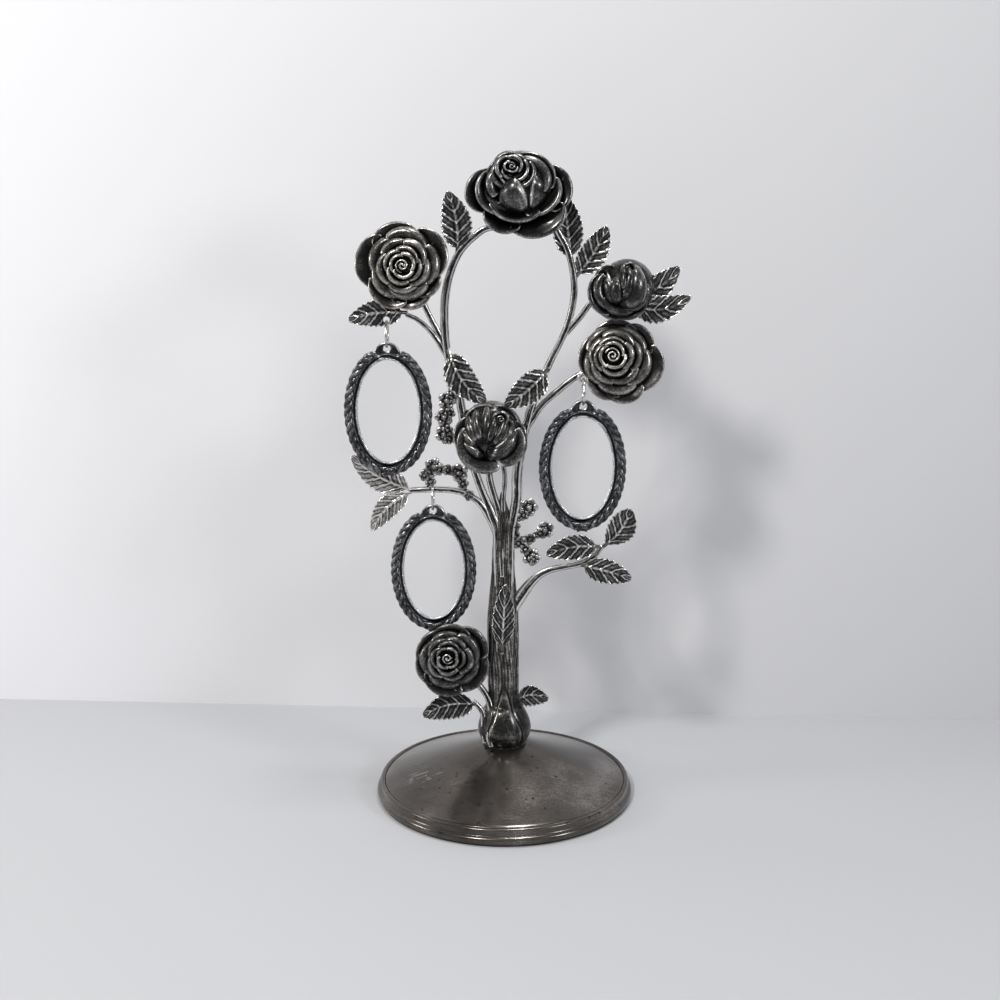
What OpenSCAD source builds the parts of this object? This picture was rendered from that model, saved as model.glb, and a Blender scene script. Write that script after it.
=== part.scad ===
// Photo tree stand: a dished round base carries a fluted trunk whose limbs bear
// roses, leaves and flower sprays. Three small oval photo frames hang from the
// limbs on plain wire rings. Millimetres, +Z up, the front faces -Y.

/* [Base] */
// Outer diameter of the foot
base_d = 108.8; // [96:0.2:124]
// Height of the rim, from the table to where the dish starts
rim_h = 7; // [5.5:0.1:9]
// Width of the two-step rim
rim_w = 3.6; // [2.8:0.1:5]
// Slope of the dish in degrees
dish_slope = 20.7; // [14:0.1:28]
// Thickness of the dish wall
base_wall = 1.9; // [1.4:0.1:3]
// Thickness of the felt pad under the foot
felt_t = 1.2; // [0.8:0.1:2]
// How far the felt stands below the metal rim
felt_proud = 0.4; // [0.2:0.1:0.6]
// Diameter of the fixing screw's thread
screw_d = 4; // [3:0.5:5]
// Diameter of the washer under the screw head
washer_d = 11; // [9.5:0.5:14]

/* [Trunk] */
// Diameter of the root bulb's foot, where it stands on the base
bulb_foot_d = 17.4; // [14:0.2:20]
// Largest diameter of the root bulb
bulb_d = 22.6; // [19:0.2:26]
// Height of the root bulb
bulb_h = 18.6; // [15:0.2:23]
// Width of the trunk below the fork
trunk_w = 9.4; // [8.4:0.2:11]
// Width of the trunk from the neck above the bulb to half way up
neck_w = 13.4; // [11.6:0.2:15]
// Number of flutes round the trunk
flutes = 7; // [5:1:9]
// Depth of the flutes
flute_depth = 0.55; // [0.2:0.05:0.9]

/* [Crown] */
// Height of the fork above the trunk's foot
fork_h = 96.6; // [90:0.2:104]
// Height of the top rose's centre above the fork
crown_h = 133.3; // [124:0.1:142]
// Reach of the crown from the left rose's centre to the right bud's centre
crown_w = 88; // [82:0.5:96]
// Diameter of the two main limbs at the fork
limb_d = 4.6; // [3.8:0.1:5.4]
// Diameter of the two main limbs along the big hoop
hoop_d = 3; // [2.4:0.1:3.8]
// Diameter of the side branches
branch_d = 2.7; // [2.3:0.1:3.3]
// Depth of the groove that makes a branch look like two twigs
twig_groove = 0.3; // [0.1:0.05:0.45]

/* [Roses] */
// Width of the top rose
top_rose_d = 41.5; // [36:0.5:44]
// Diameter of the left rose
left_rose_d = 35.2; // [30:0.2:38]
// Diameter of the right rose
right_rose_d = 33.2; // [29:0.2:36]
// Diameter of the right bud
bud_d = 25.5; // [21:0.5:29]
// Diameter of the rose at the middle of the tree
centre_rose_d = 29; // [25:0.5:33]
// Diameter of the low rose beside the trunk
low_rose_d = 30.6; // [27:0.2:32]
// Depth of a rose, as a share of its diameter
rose_depth = 0.38; // [0.3:0.01:0.44]
// Number of petals in the outer whorl of a rose
rose_petals = 5; // [4:1:6]

/* [Leaves] */
// Thickness of a leaf
leaf_t = 1.1; // [0.8:0.1:1.6]
// Width of the largest leaves
leaf_w = 13; // [10:0.2:14]
// Width of the narrower leaves
narrow_leaf_w = 10; // [8:0.2:11]
// Depth of the teeth, as a share of half the leaf's width
leaf_tooth = 0.17; // [0.05:0.01:0.25]
// Diameter of a leaf stalk
stalk_d = 1.7; // [1.3:0.1:2.2]

/* [Flowers] */
// Radius of one petal of the small flowers
petal_r = 1.25; // [0.9:0.05:1.5]
// Radius of the berries between the flowers
berry_r = 1.05; // [0.8:0.05:1.3]
// Thickness of a flower
flower_t = 1.7; // [1.3:0.1:2.2]
// Diameter of the spray's twigs
twig_d = 1.1; // [0.9:0.1:1.5]

/* [Photo frames] */
// Width of the oval opening
opening_w = 24.4; // [20:0.2:27]
// Height of the oval opening
opening_h = 41.4; // [36:0.2:44]
// Width of the frame's moulding
moulding_w = 5.7; // [5:0.1:6.2]
// Thickness of the frame
frame_t = 3.6; // [3:0.1:4]
// Depth of the rebate at the back that holds the photo
rebate = 1.2; // [0.8:0.1:1.6]
// Number of strand ridges in the rope round one frame
rope_ridges = 19; // [15:1:20]
// Radius of the half-round hanging lug
lug_r = 5.3; // [5:0.1:5.6]

/* [Rings] */
// Outer diameter of a hanging ring
ring_d = 11.4; // [10.6:0.1:12.4]
// Diameter of the ring's wire
wire_d = 1.1; // [0.8:0.1:1.4]
// Diameter of the holes that a ring passes through
eye_d = 2.6; // [2.2:0.1:3]
// Clearance between a ring and the edge that it hangs on
hang_gap = 0.2; // [0.15:0.05:0.3]

/* [Hidden] */
$fn = 48;
pewter = "#5d5a57";
dark_pewter = "#45454a";
base_grey = "#79716b";
nickel = "#d5d3cc";
felt_green = "#26302a";

// Base
foot_r = base_d / 2;
dish_r = foot_r - rim_w;
seat_margin = 0.6;
seat_r = bulb_foot_d / 2 + seat_margin;
seat_z = rim_h + (dish_r - seat_r) * tan(dish_slope);
boss_margin = 1.5;
boss_r = washer_d / 2 + boss_margin;
boss_h = 5;
felt_inset = 1;
felt_r = foot_r - rim_w - felt_inset;
felt_gap = 0.15;
ledge_w = 2.6;
ledge_r = felt_r - ledge_w;
top_bead_r = rim_w * 0.31;
low_bead_r = 1.7;
low_bead_h = 1.9;
foot_inset = 0.6;
washer_t = 1;
screw_play = 0.6;
head_r = screw_d * 0.9;
head_h = screw_d * 0.6;
slot_w = screw_d * 0.2;
screw_l = 14;
screw_grip = 0.8;
thread_land = 0.05;

// Heights above the trunk's foot
fork_z = seat_z + fork_h;

// Layout grid: x counts in the crown's reach, z up to the fork or above it. Its points
// are measured on a tree of these drawn sizes.
drawn_fork_h = 96.6;
drawn_crown_h = 133.3;
drawn_crown_w = 88;
crown_share = crown_h / drawn_crown_h;
function grid_x(x) = x * crown_w / drawn_crown_w;
function low(x, y, z, r) = [grid_x(x), y, seat_z + z * fork_h / drawn_fork_h, r];
function high(x, y, z, r) = [grid_x(x), y, fork_z + z * crown_share, r];
function place(p) = [p[0], p[1], p[2]];

// Radii
limb_r = limb_d / 2;
hoop_r = hoop_d / 2;
branch_r = branch_d / 2;
slim_r = branch_r * 0.88;

// Rings and eyes
ring_r = (ring_d - wire_d) / 2;
wire_r = wire_d / 2;
eye_r = eye_d / 2;
eye_wall = 1.3;
eye_boss_r = eye_r + eye_wall;
eye_t = 2;
eye_drop = eye_r - wire_r - hang_gap;

// Photo frame
half_w = opening_w / 2;
half_h = opening_h / 2;
lug_t = 2;
band_w = 2.5;
hole_rise = 4.7;
lug_half_turn = 17;
groove_w = 2.2;
rope_swell = 0.34;
frame_drop = half_h + hole_rise;

// Rose heads: columns of points round one, and how deep its back sinks into its branch
rose_cols = 24;
solder_lap = 0.7;
right_rose_at = high(45.2, 0, 66.6, 0);
centre_rose_at = high(-5.6, 0, 35.4, 0);

// Small flowers: how far the eye stands over the petals
eye_rise = 0.4;

// Leaf that reaches down to the centre rose
centre_leaf_foot = high(-22.6, -0.3, 72, 0);
centre_leaf_turn = 56;
centre_leaf_gap = 0.3;
centre_leaf_l = (centre_leaf_foot[2] - centre_rose_at[2] - centre_rose_d / 2 + centre_leaf_gap)
    / sin(centre_leaf_turn);

// Centres of the eyes, and where along its branch the low ring sits. The right eye keeps
// its place against the right rose's edge.
front_y = -4.2;
left_eye = high(-46.8, front_y, 83.6, 0);
right_eye_inset = 2.9;
right_eye_fall = 6.2;
right_eye = [
    right_rose_at[0] - right_rose_d / 2 + right_eye_inset,
    front_y,
    right_rose_at[2] - right_eye_fall
];
empty_eye = high(0.8, 0, 120, 0);
low_hang_x = -29.4;

// ---------- curves and skins ----------

function unit(v) = v / norm(v);

// Smooth curve that passes through all its points
function curve_point(p, i, t) =
    let (
        n = len(p) - 1,
        a = i > 0 ? p[i - 1] : 2 * p[0] - p[1],
        b = p[i],
        c = p[i + 1],
        d = i + 2 <= n ? p[i + 2] : 2 * p[n] - p[n - 1]
    )
    0.5 * (2 * b + (c - a) * t + (2 * a - 5 * b + 4 * c - d) * t * t
        + (3 * b - a - 3 * c + d) * t * t * t);

function curve(p, steps) = concat(
    [for (i = [0 : len(p) - 2]) for (s = [0 : steps - 1]) curve_point(p, i, s / steps)],
    [p[len(p) - 1]]
);

function middle(ring) = [for (k = [0 : 2]) [for (p = ring) p[k]] * [for (p = ring) 1] / len(ring)];

// Triangles between two neighbouring rings of a skin
function band(a, b, m) = [
    for (j = [0 : m - 1]) for (tri = [
        [a + j, b + j, a + (j + 1) % m],
        [a + (j + 1) % m, b + j, b + (j + 1) % m]
    ]) tri
];

// Closed solid through rings of the same number of points, closed by a fan at each end
module skin(rings) {
    n = len(rings);
    m = len(rings[0]);
    start = n * m;
    polyhedron(
        points = concat(
            [for (ring = rings) for (p = ring) p],
            [middle(rings[0]), middle(rings[n - 1])]
        ),
        faces = concat(
            [for (i = [0 : n - 2]) for (tri = band(i * m, (i + 1) * m, m)) tri],
            [for (j = [0 : m - 1]) [start, j, (j + 1) % m]],
            [for (j = [0 : m - 1]) [start + 1, (n - 1) * m + (j + 1) % m, (n - 1) * m + j]]
        )
    );
}

// Solid through rings that close on themselves, as a frame does
module skin_loop(rings) {
    n = len(rings);
    m = len(rings[0]);
    polyhedron(
        points = [for (ring = rings) for (p = ring) p],
        faces = [for (i = [0 : n - 1]) for (tri = band(i * m, ((i + 1) % n) * m, m)) tri]
    );
}

// ---------- branches ----------

// Section of a branch: round, with a groove down its front and its back
function twig_section(centre, along, r, sides) =
    let (
        side = unit(cross(along, [0, 1, 0])),
        front = unit(cross(along, side))
    )
    [for (j = [0 : sides - 1])
        let (
            a = 360 * j / sides,
            groove = 1 - twig_groove * pow(abs(sin(a)), 10)
        )
        centre + r * groove * (cos(a) * side + sin(a) * front)];

// Branch through points [x, y, z, radius]
module branch(points, steps = 2, sides = 8) {
    path = curve(points, steps);
    n = len(path);
    skin([for (i = [0 : n - 1])
        let (along = place(path[min(i + 1, n - 1)] - path[max(i - 1, 0)]))
        twig_section(place(path[i]), along, path[i][3], sides)]);
}

// Flat eye whose hole runs from front to back
module eye_boss(at) {
    translate(place(at))
        rotate([90, 0, 0])
            cylinder(h = eye_t, r = eye_boss_r, center = true);
}

module eye_hole(at, depth) {
    translate(place(at))
        rotate([90, 0, 0])
            cylinder(h = depth, r = eye_r, center = true);
}

// ---------- leaves ----------

// Outline of a leaf: 0 at the stalk and at the tip, 1 at its widest
function leaf_outline(u) = pow(sin(180 * pow(u, 0.72)), 0.85);

// One station of a leaf: three points over the face and three under it
function leaf_station(t, length, width, teeth, rise, sweep, cup) =
    let (
        stalk = 0.14,
        widest = width / 2 / (1 + leaf_tooth),
        u = max(0, (t - stalk) / (1 - stalk)),
        tooth = round(t * 2 * teeth) % 2 == 0 ? 1 - leaf_tooth : 1 + leaf_tooth,
        lean = round(t * 2 * teeth) % 2 == 0 ? 0 : length / teeth * 0.28,
        half = max(stalk_d / 2 * (1 - 0.75 * t), widest * leaf_outline(min(u, 0.985)) * tooth),
        x = t * length,
        z = sweep * sin(180 * t),
        y = rise * sin(180 * pow(t, 0.8)),
        lift = cup * half,
        edge_x = min(x + (u > 0 ? lean : 0), length)
    )
    [
        [edge_x, -y - lift + leaf_t * 0.6, z - half],
        [x, -y + leaf_t * 1.5, z],
        [edge_x, -y - lift + leaf_t * 0.6, z + half],
        [edge_x, -y - lift, z + half],
        [x, -y, z],
        [edge_x, -y - lift, z - half]
    ];

// Serrated leaf that grows from its foot, turned by angle round the viewing axis.
// rise bows it forward, tip_y sets how far forward its tip ends, cup folds its edges.
module leaf(foot, angle, length, width, rise = 1.5, tip_y = 0, sweep = 0, cup = 0.25, teeth = 6) {
    translate(place(foot))
        rotate([0, -angle, 0])
            rotate([0, 0, -atan2(tip_y, length)])
                skin([for (i = [0 : 2 * teeth])
                    leaf_station(i / (2 * teeth), length, width, teeth, rise, sweep, cup)]);
}

// ---------- roses ----------

// One row round a rose. Each petal bulges between two notches and laps over the next one.
function petal_row(rad, h, petals, turn, notch, lap, shift, squash) = [
    for (j = [0 : rose_cols - 1])
        let (
            a = 360 * j / rose_cols,
            count = (a + turn) * petals / 360,
            f = count - floor(count),
            bulge = pow(sin(180 * f), 0.6),
            r = rad * (1 - notch * (1 - bulge) + lap * (f - 0.5))
        )
        [r * cos(a) + shift[0], -h, r * squash * sin(a) + shift[1]]
];

// The rows of one whorl: the valley outside it, its belly, its lip and the fold inside
function whorl_rows(k, whorls, radius, depth, closed, turn, drift, squash) =
    let (
        petals = max(2, rose_petals - floor(k * 0.7)),
        share = pow(1 - k / whorls, 1 + 0.35 * closed),
        lip_h = depth * (0.42 + (0.58 - 0.1 * closed) * (1 - pow(1 - k / whorls, 2 + 3 * closed))),
        lip_r = radius * share * (k == 0 ? 1 : 1 - 0.1 * closed),
        fold = depth * 0.17,
        spin = turn + k * 137.5,
        notch = k == 0 ? 0.22 : 0.1,
        lap = k == 0 ? 0.06 : 0.1,
        shift = drift * (1 - share),
        round_up = k == 0 ? squash : squash + (1 - squash) * (1 - share),
        rows = k == 0
            ? [[0.93, 0.62 * lip_h], [1, 0.86 * lip_h], [0.97, lip_h]]
            : [
                [1.07, lip_h - fold * 2.1],
                [1.04 + 0.06 * closed, lip_h - fold],
                [0.93, lip_h],
                [0.86, lip_h - fold * 0.8]
            ]
    )
    [for (row = rows) petal_row(lip_r * row[0], row[1], petals, spin, notch, lap, shift, round_up)];

// Rose head with its back at the origin, open towards -Y. closed runs from 0, an open
// rose, to 1, a bud; drift moves the heart of the rose; squash lowers its outline.
module rose_head(d, closed = 0, whorls = 5, turn = 0, drift = [0, 0], squash = 1) {
    radius = d / 2;
    depth = d * rose_depth;
    skin(concat(
        [petal_row(radius * 0.22, 0, rose_petals, turn, 0, 0, [0, 0], 1)],
        [petal_row(radius * 0.68, depth * 0.06, rose_petals, turn, 0.1, 0.02, [0, 0], squash)],
        [for (k = [0 : whorls - 1])
            for (row = whorl_rows(k, whorls, radius, depth, closed, turn, drift, squash)) row]
    ));
}

// Rose set on the front of a branch: its back sinks solder_lap into the branch
module rose(at, branch_radius, d, closed = 0, whorls = 5, turn = 0, nod = 0, look = 0,
    drift = [0, 0], squash = 1) {
    translate([at[0], at[1] - branch_radius + solder_lap, at[2]])
        rotate([nod, 0, look])
            rose_head(d, closed, whorls, turn, drift, squash);
}

// ---------- flowers ----------

module rod(a, b, d) {
    v = b - a;
    translate(a)
        rotate([0, acos(v[2] / norm(v)), atan2(v[1], v[0])])
            cylinder(h = norm(v), d = d);
}

// Five round petals about a raised eye
module flower(at, turn = 0) {
    ring = petal_r * 1.25;
    translate(at) {
        rotate([90, turn, 0])
            linear_extrude(flower_t, center = true) {
                circle(r = ring);
                for (i = [0 : 4])
                    rotate(72 * i)
                        translate([ring, 0])
                            circle(r = petal_r);
            }
        rotate([90, 0, 0])
            cylinder(h = flower_t / 2 + eye_rise, r = petal_r * 0.6);
    }
}

// Small bead turned about the front-to-back axis
module berry(at) {
    translate(at)
        rotate([90, 0, 0])
            rotate_extrude()
                polygon([for (a = [-90 : 30 : 90]) berry_r * [cos(a), sin(a)]]);
}

// ---------- stems of the tree, point by point [x, y, z, radius] ----------

left_limb_path = [
    low(-3.1, 0, 92.6, limb_r * 0.8),
    low(-5.2, 0, 99.6, limb_r * 0.85),
    high(-10.2, 0.6, 15.5, limb_r * 0.75),
    high(-15, 0.9, 32, limb_r * 0.75),
    high(-18.7, 0.4, 54, limb_r * 0.8),
    high(-23.2, 0, 71, hoop_r * 1.1),
    high(-23.7, 0, 92, hoop_r * 1.15),
    high(-18.9, 0, 108, hoop_r),
    high(-10.2, 0, 117.2, hoop_r * 0.9),
    high(-4.4, 0, 119.6, hoop_r * 0.85),
    high(-1.1, 0, 120, hoop_r * 0.7)
];

right_limb_path = [
    low(2.7, 0, 92.6, limb_r * 0.85),
    high(4.8, 0, 9, limb_r * 0.95),
    high(5.2, 0.3, 22, limb_r),
    high(8.2, 0.6, 38, limb_r * 0.85),
    high(12.2, 0.3, 52, hoop_r * 1.05),
    high(18.4, 0, 66.5, hoop_r * 0.95),
    high(24.7, 0, 80, hoop_r * 0.9),
    high(27.6, 0, 94, hoop_r * 0.9),
    high(25.6, 0, 108, hoop_r * 0.85),
    high(21, 0, 117.5, hoop_r * 0.8),
    high(15.8, -0.2, 125.5, hoop_r * 0.8),
    high(6.5, -0.6, 131.5, hoop_r * 0.8)
];

right_rose_branch_path = [
    high(8.6, 0.4, 38.5, branch_r),
    high(14.8, 0, 48.2, branch_r),
    high(21.5, 0, 54.4, branch_r),
    high(28.2, 0, 59.8, branch_r * 0.95),
    high(37, 0, 64.8, branch_r * 0.9),
    high(45.4, 0, 67, branch_r * 0.9)
];

left_rose_stem_path = [
    high(-22.9, 0, 69.5, branch_r * 0.95),
    high(-26.3, 0, 77.5, branch_r * 0.9),
    high(-31.6, 0, 88, branch_r * 0.9),
    high(-38.2, 0, 105, branch_r * 0.9)
];

left_leaf_stem_path = [
    high(-22.6, 0, 67.5, branch_r * 0.85),
    high(-28.6, -0.2, 77.2, slim_r * 0.9),
    high(-34.3, -0.8, 82.8, slim_r * 0.85),
    high(-39.4, -1.6, 85.4, slim_r * 0.75)
];

right_bud_stem_path = [
    high(24.4, 0, 77.5, slim_r),
    high(30, 0.3, 84, slim_r),
    high(35.8, 0.4, 91, slim_r),
    high(45.7, 0.2, 95.1, slim_r)
];

centre_stem_path = [
    low(-1.6, -0.6, 92.6, limb_r * 0.62),
    low(-2.6, -0.5, 101.6, limb_r * 0.62),
    high(-6.2, -0.5, 19, limb_r * 0.62),
    high(-6.4, -0.9, 36, limb_r * 0.6)
];

centre_twig_path = [
    low(0.2, -0.9, 92.6, limb_r * 0.42),
    low(-0.6, -0.9, 104.6, limb_r * 0.42),
    high(0, -0.7, 20, limb_r * 0.42),
    high(-2.6, -0.6, 33, limb_r * 0.42)
];

low_left_branch_path = [
    low(-2.9, 0, 90.1, branch_r * 1.35),
    low(-6.6, 0, 99, branch_r * 1.2),
    high(-11.3, 0, 8.9, branch_r * 1.05),
    high(-18.8, 0, 12.8, branch_r),
    high(low_hang_x, 0, 13.6, branch_r),
    high(-39.2, 0, 13.2, branch_r * 0.9)
];

low_right_branch_path = [
    low(2.6, 0, 56.6, branch_r * 1.9),
    low(7.2, 0, 65.2, branch_r * 1.85),
    low(12.4, 0, 72, branch_r * 1.45),
    low(17.8, 0, 75.6, branch_r * 1.15),
    low(24.4, 0, 77.2, branch_r),
    low(31.4, 0, 78.6, branch_r * 0.9),
    low(36.8, 0, 81.6, branch_r * 0.8),
    low(40.2, 0, 86, branch_r * 0.7)
];

low_rose_stem_path = [
    low(-3.8, -1.6, 9.6, branch_r),
    low(-6.8, -2.2, 19.6, branch_r),
    low(-11.6, -1.9, 27, branch_r),
    low(-21.4, -1.2, 37.6, branch_r)
];

root_stem_path = [
    low(-8, -3.2, 6.8, slim_r),
    low(-9.2, -3.8, 14.4, slim_r),
    low(-13.4, -3.6, 19.6, slim_r * 0.85)
];

low_hang = high(low_hang_x, 0, 13.6, 0);

// ---------- sub-parts: base ----------

// Section of the dish: seat, slope, the rim's two beads, the ledge for the felt and the boss
module base_section() {
    rim = rim_h - felt_proud;
    seat = seat_z - felt_proud;
    ledge = felt_t - felt_proud;
    top_bead_x = foot_r - rim_w * 0.725;
    polygon(concat(
        [[0, seat], [seat_r, seat], [dish_r, rim]],
        [for (a = [150 : -30 : 0]) [top_bead_x + top_bead_r * cos(a), rim - 1 + top_bead_r * sin(a)]],
        [for (a = [80 : -20 : -60])
            [foot_r - low_bead_r + low_bead_r * cos(a), low_bead_h * (1 + 0.95 * sin(a))]],
        [
            [foot_r - foot_inset, 0],
            [felt_r + felt_gap, 0],
            [felt_r + felt_gap, ledge],
            [ledge_r, ledge],
            [ledge_r, rim - base_wall],
            [boss_r, seat - base_wall - (boss_r - seat_r) * tan(dish_slope)],
            [boss_r, seat - boss_h],
            [0, seat - boss_h]
        ]
    ));
}

module base_dish() {
    color(base_grey)
    translate([0, 0, felt_proud])
    difference() {
        rotate_extrude($fn = 96)
            base_section();
        translate([0, 0, seat_z - felt_proud - boss_h - 1])
            cylinder(h = boss_h + 2, d = screw_d + screw_play);
    }
}

module base_felt() {
    color(felt_green)
        cylinder(h = felt_t, r = felt_r, $fn = 96);
}

module base_washer() {
    color(nickel)
        translate([0, 0, seat_z - boss_h - washer_t])
            difference() {
                cylinder(h = washer_t, d = washer_d);
                translate([0, 0, -1])
                    cylinder(h = washer_t + 2, d = screw_d + screw_play);
            }
}

module base_screw() {
    under_head = seat_z - boss_h - washer_t;
    color(nickel) {
        difference() {
            translate([0, 0, under_head])
                rotate_extrude()
                    polygon([
                        [0, 0],
                        [head_r, 0],
                        [head_r, -head_h * 0.5],
                        [head_r * 0.72, -head_h * 0.85],
                        [head_r * 0.33, -head_h],
                        [0, -head_h]
                    ]);
            translate([-screw_d, -slot_w / 2, under_head - head_h - 0.1])
                cube([screw_d * 2, slot_w, head_h * 0.45]);
        }
        translate([0, 0, under_head - 0.1])
            cylinder(h = screw_l + 0.1, d = screw_d - 2 * thread_land);
    }
}

// ---------- sub-parts: trunk ----------

// Smooth step from 0 to 1
function ease(t) = let (c = min(1, max(0, t))) c * c * (3 - 2 * c);

// Fluted section of the trunk with its middle at x, w wide and w * depth deep
function trunk_ring(x, z, w, depth, flute) = [
    for (j = [0 : 27])
        let (
            a = 360 * j / 28,
            r = w / 2 - flute_depth * flute * (0.5 - 0.5 * cos(flutes * a + 90))
        )
        [x + r * cos(a), r * depth * sin(a), z]
];

module trunk() {
    foot = seat_z;
    neck = seat_z + bulb_h;
    fork = seat_z + fork_h - 2;
    rings = concat(
        [trunk_ring(0, foot, bulb_foot_d, 1, 0)],
        [trunk_ring(0, foot + bulb_h * 0.1, bulb_foot_d + (bulb_d - bulb_foot_d) * 0.5, 1, 0.3)],
        [trunk_ring(0, foot + bulb_h * 0.34, bulb_d, 0.98, 0.7)],
        [trunk_ring(0, foot + bulb_h * 0.58, bulb_d * 0.93, 0.95, 0.9)],
        [trunk_ring(-0.3, foot + bulb_h * 0.82, (bulb_d * 0.45 + neck_w * 0.55), 0.92, 1)],
        [for (s = [0 : 0.125 : 1])
            trunk_ring(
                -0.3 - 0.4 * sin(s * 180),
                neck + (fork - neck) * s,
                neck_w + (trunk_w - neck_w) * ease((s - 0.45) / 0.38),
                0.86,
                1.1)],
        [trunk_ring(-0.3, fork + 1.2, trunk_w * 0.84, 0.8, 1)],
        [trunk_ring(-0.3, fork + 2.2, trunk_w * 0.6, 0.7, 0.8)]
    );
    color(pewter)
    difference() {
        skin(rings);
        translate([0, 0, foot - 1])
            cylinder(h = screw_l - boss_h + 2.5, d = screw_d - screw_grip);
    }
}

module trunk_leaf() {
    color(pewter)
        leaf(low(-1.2, -neck_w * 0.47, 41.2, 0), 87, 30, narrow_leaf_w,
            rise = 0.6, tip_y = -0.7, cup = -0.3);
}

// ---------- sub-parts: limbs and branches ----------

module left_limb() {
    color(pewter)
    difference() {
        union() {
            branch(left_limb_path);
            eye_boss(empty_eye);
            rod(place(high(1.6, -0.2, 121.6, 0)), place(high(4.6, -0.6, 129.6, 0)), hoop_d * 0.8);
        }
        eye_hole(empty_eye, 8);
    }
}

module right_limb() {
    color(pewter) branch(right_limb_path);
}

module right_rose_branch() {
    color(pewter) branch(right_rose_branch_path);
}

module left_rose_stem() {
    color(pewter) branch(left_rose_stem_path);
}

module left_leaf_stem() {
    color(pewter) branch(left_leaf_stem_path);
}

module right_bud_stem() {
    color(pewter) branch(right_bud_stem_path);
}

module centre_stem() {
    color(pewter) branch(centre_stem_path);
}

module centre_twig() {
    color(pewter) branch(centre_twig_path);
}

module low_left_branch() {
    color(pewter) branch(low_left_branch_path);
}

module low_right_branch() {
    color(pewter) branch(low_right_branch_path);
}

module low_rose_stem() {
    color(pewter) branch(low_rose_stem_path);
}

module root_stem() {
    color(pewter) branch(root_stem_path);
}

// ---------- sub-parts: roses ----------

module top_rose() {
    color(dark_pewter)
        rose(high(5.6, 0, 131.2, 0), hoop_r * 0.8, top_rose_d, closed = 0.8, turn = 20, nod = -12,
            drift = [-3.7, 6], squash = 0.82);
}

module left_rose() {
    color(pewter)
        rose(high(-39.4, 0, 104.6, 0), branch_r * 0.9, left_rose_d, turn = 50, nod = -6, look = -4,
            drift = [1, 1.6]);
}

module right_rose() {
    color(pewter)
        rose(right_rose_at, branch_r * 0.9, right_rose_d, turn = 10, nod = -8,
            drift = [-2.6, 3]);
}

// Eye beside the right rose that carries its frame's ring
module right_eye_lug() {
    color(pewter)
    difference() {
        union() {
            eye_boss(right_eye);
            rod(right_eye + [0, 0, 2], right_eye + [3, 1.4, 5.6], 2.2);
        }
        eye_hole(right_eye, 8);
    }
}

module right_bud() {
    color(dark_pewter)
        rose(high(45.7, 0, 95.1, 0), slim_r, bud_d, closed = 1, whorls = 4, turn = 36, nod = -12,
            drift = [3, 1.6]);
}

module centre_rose() {
    color(pewter)
        rose(centre_rose_at, limb_r * 0.9, centre_rose_d, closed = 0.8, turn = 4, nod = -10,
            drift = [2.6, 4.4]);
}

module low_rose() {
    color(pewter)
        rose(low(-22, 0, 38.2, 0), branch_r + 0.6, low_rose_d, turn = 28, nod = -6,
            drift = [-1.6, 2]);
}

// ---------- sub-parts: leaves ----------

module top_left_leaf() {
    color(pewter)
        leaf(high(-18.8, 0, 108.6, 0), 98, 25, leaf_w, rise = 0.8, tip_y = 0.5, sweep = -1.6);
}

module top_right_leaf() {
    color(pewter)
        leaf(high(26, 0, 105, 0), 97, 28, leaf_w, rise = -0.6, tip_y = -2.6, sweep = -0.4);
}

module upper_right_leaf() {
    color(pewter)
        leaf(high(27.6, 0, 99.5, 0), 58, 24, leaf_w * 0.92, rise = 1, tip_y = 0.6, sweep = -1);
}

module bud_leaf_upper() {
    color(pewter)
        leaf(high(45, 0.6, 94.5, 0), 21, 26, narrow_leaf_w, rise = 0.2, tip_y = 1.5, sweep = -4.5,
            teeth = 5);
}

module bud_leaf_lower() {
    color(pewter)
        leaf(high(45, 0.6, 93.5, 0), -3, 29, narrow_leaf_w, rise = 0.5, tip_y = 2.4, sweep = -5.5);
}

module hanging_leaf() {
    color(pewter)
    difference() {
        leaf(high(-38.4, -1.4, 86, 0), -174, 24, leaf_w * 0.9, rise = 2.4, tip_y = 3.4,
            sweep = -1.6, cup = 0.05);
        eye_hole(left_eye, 12);
    }
}

module centre_left_leaf() {
    color(pewter)
        leaf(centre_leaf_foot, -centre_leaf_turn, centre_leaf_l, leaf_w, rise = 2.8, tip_y = 3.2,
            sweep = -2.4);
}

module centre_right_leaf() {
    color(pewter)
        leaf(high(17.8, -0.3, 64, 0), -139, 24 * crown_share, leaf_w, rise = 2.8, tip_y = 4, sweep = 0.8);
}

module low_left_leaf_upper() {
    color(pewter)
        leaf(high(-36.8, 0.2, 13, 0), 151, 29.5, leaf_w * 0.95, rise = -0.4, tip_y = -0.6,
            sweep = 2, cup = 0.12);
}

module low_left_leaf_lower() {
    color(pewter)
        leaf(high(-37.6, -0.1, 13, 0), -136, 24, narrow_leaf_w, rise = 0.8, tip_y = 1, sweep = -2.5);
}

module low_right_leaf_inner() {
    color(pewter)
        leaf(low(40.2, 0, 85.9, 0), -173, 23.5, leaf_w * 0.9, rise = 1, tip_y = 1.2, sweep = -1.8,
            teeth = 5);
}

module low_right_leaf_upper() {
    color(pewter)
        leaf(low(40, 0, 85.4, 0), 54, 20.5, narrow_leaf_w, rise = 1.2, tip_y = 0.8, sweep = -1.6,
            teeth = 5);
}

module low_right_leaf_end() {
    color(pewter)
        leaf(low(30.6, 0, 78.4, 0), -15, 23, leaf_w * 0.88, rise = 1.4, tip_y = 1.6, sweep = 0.8,
            teeth = 5);
}

module root_leaf_left() {
    color(pewter)
        leaf(low(-10.6, -3.4, 17.9, 0), -170, 24.5, leaf_w, rise = 1.4, tip_y = 2, sweep = -3);
}

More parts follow.
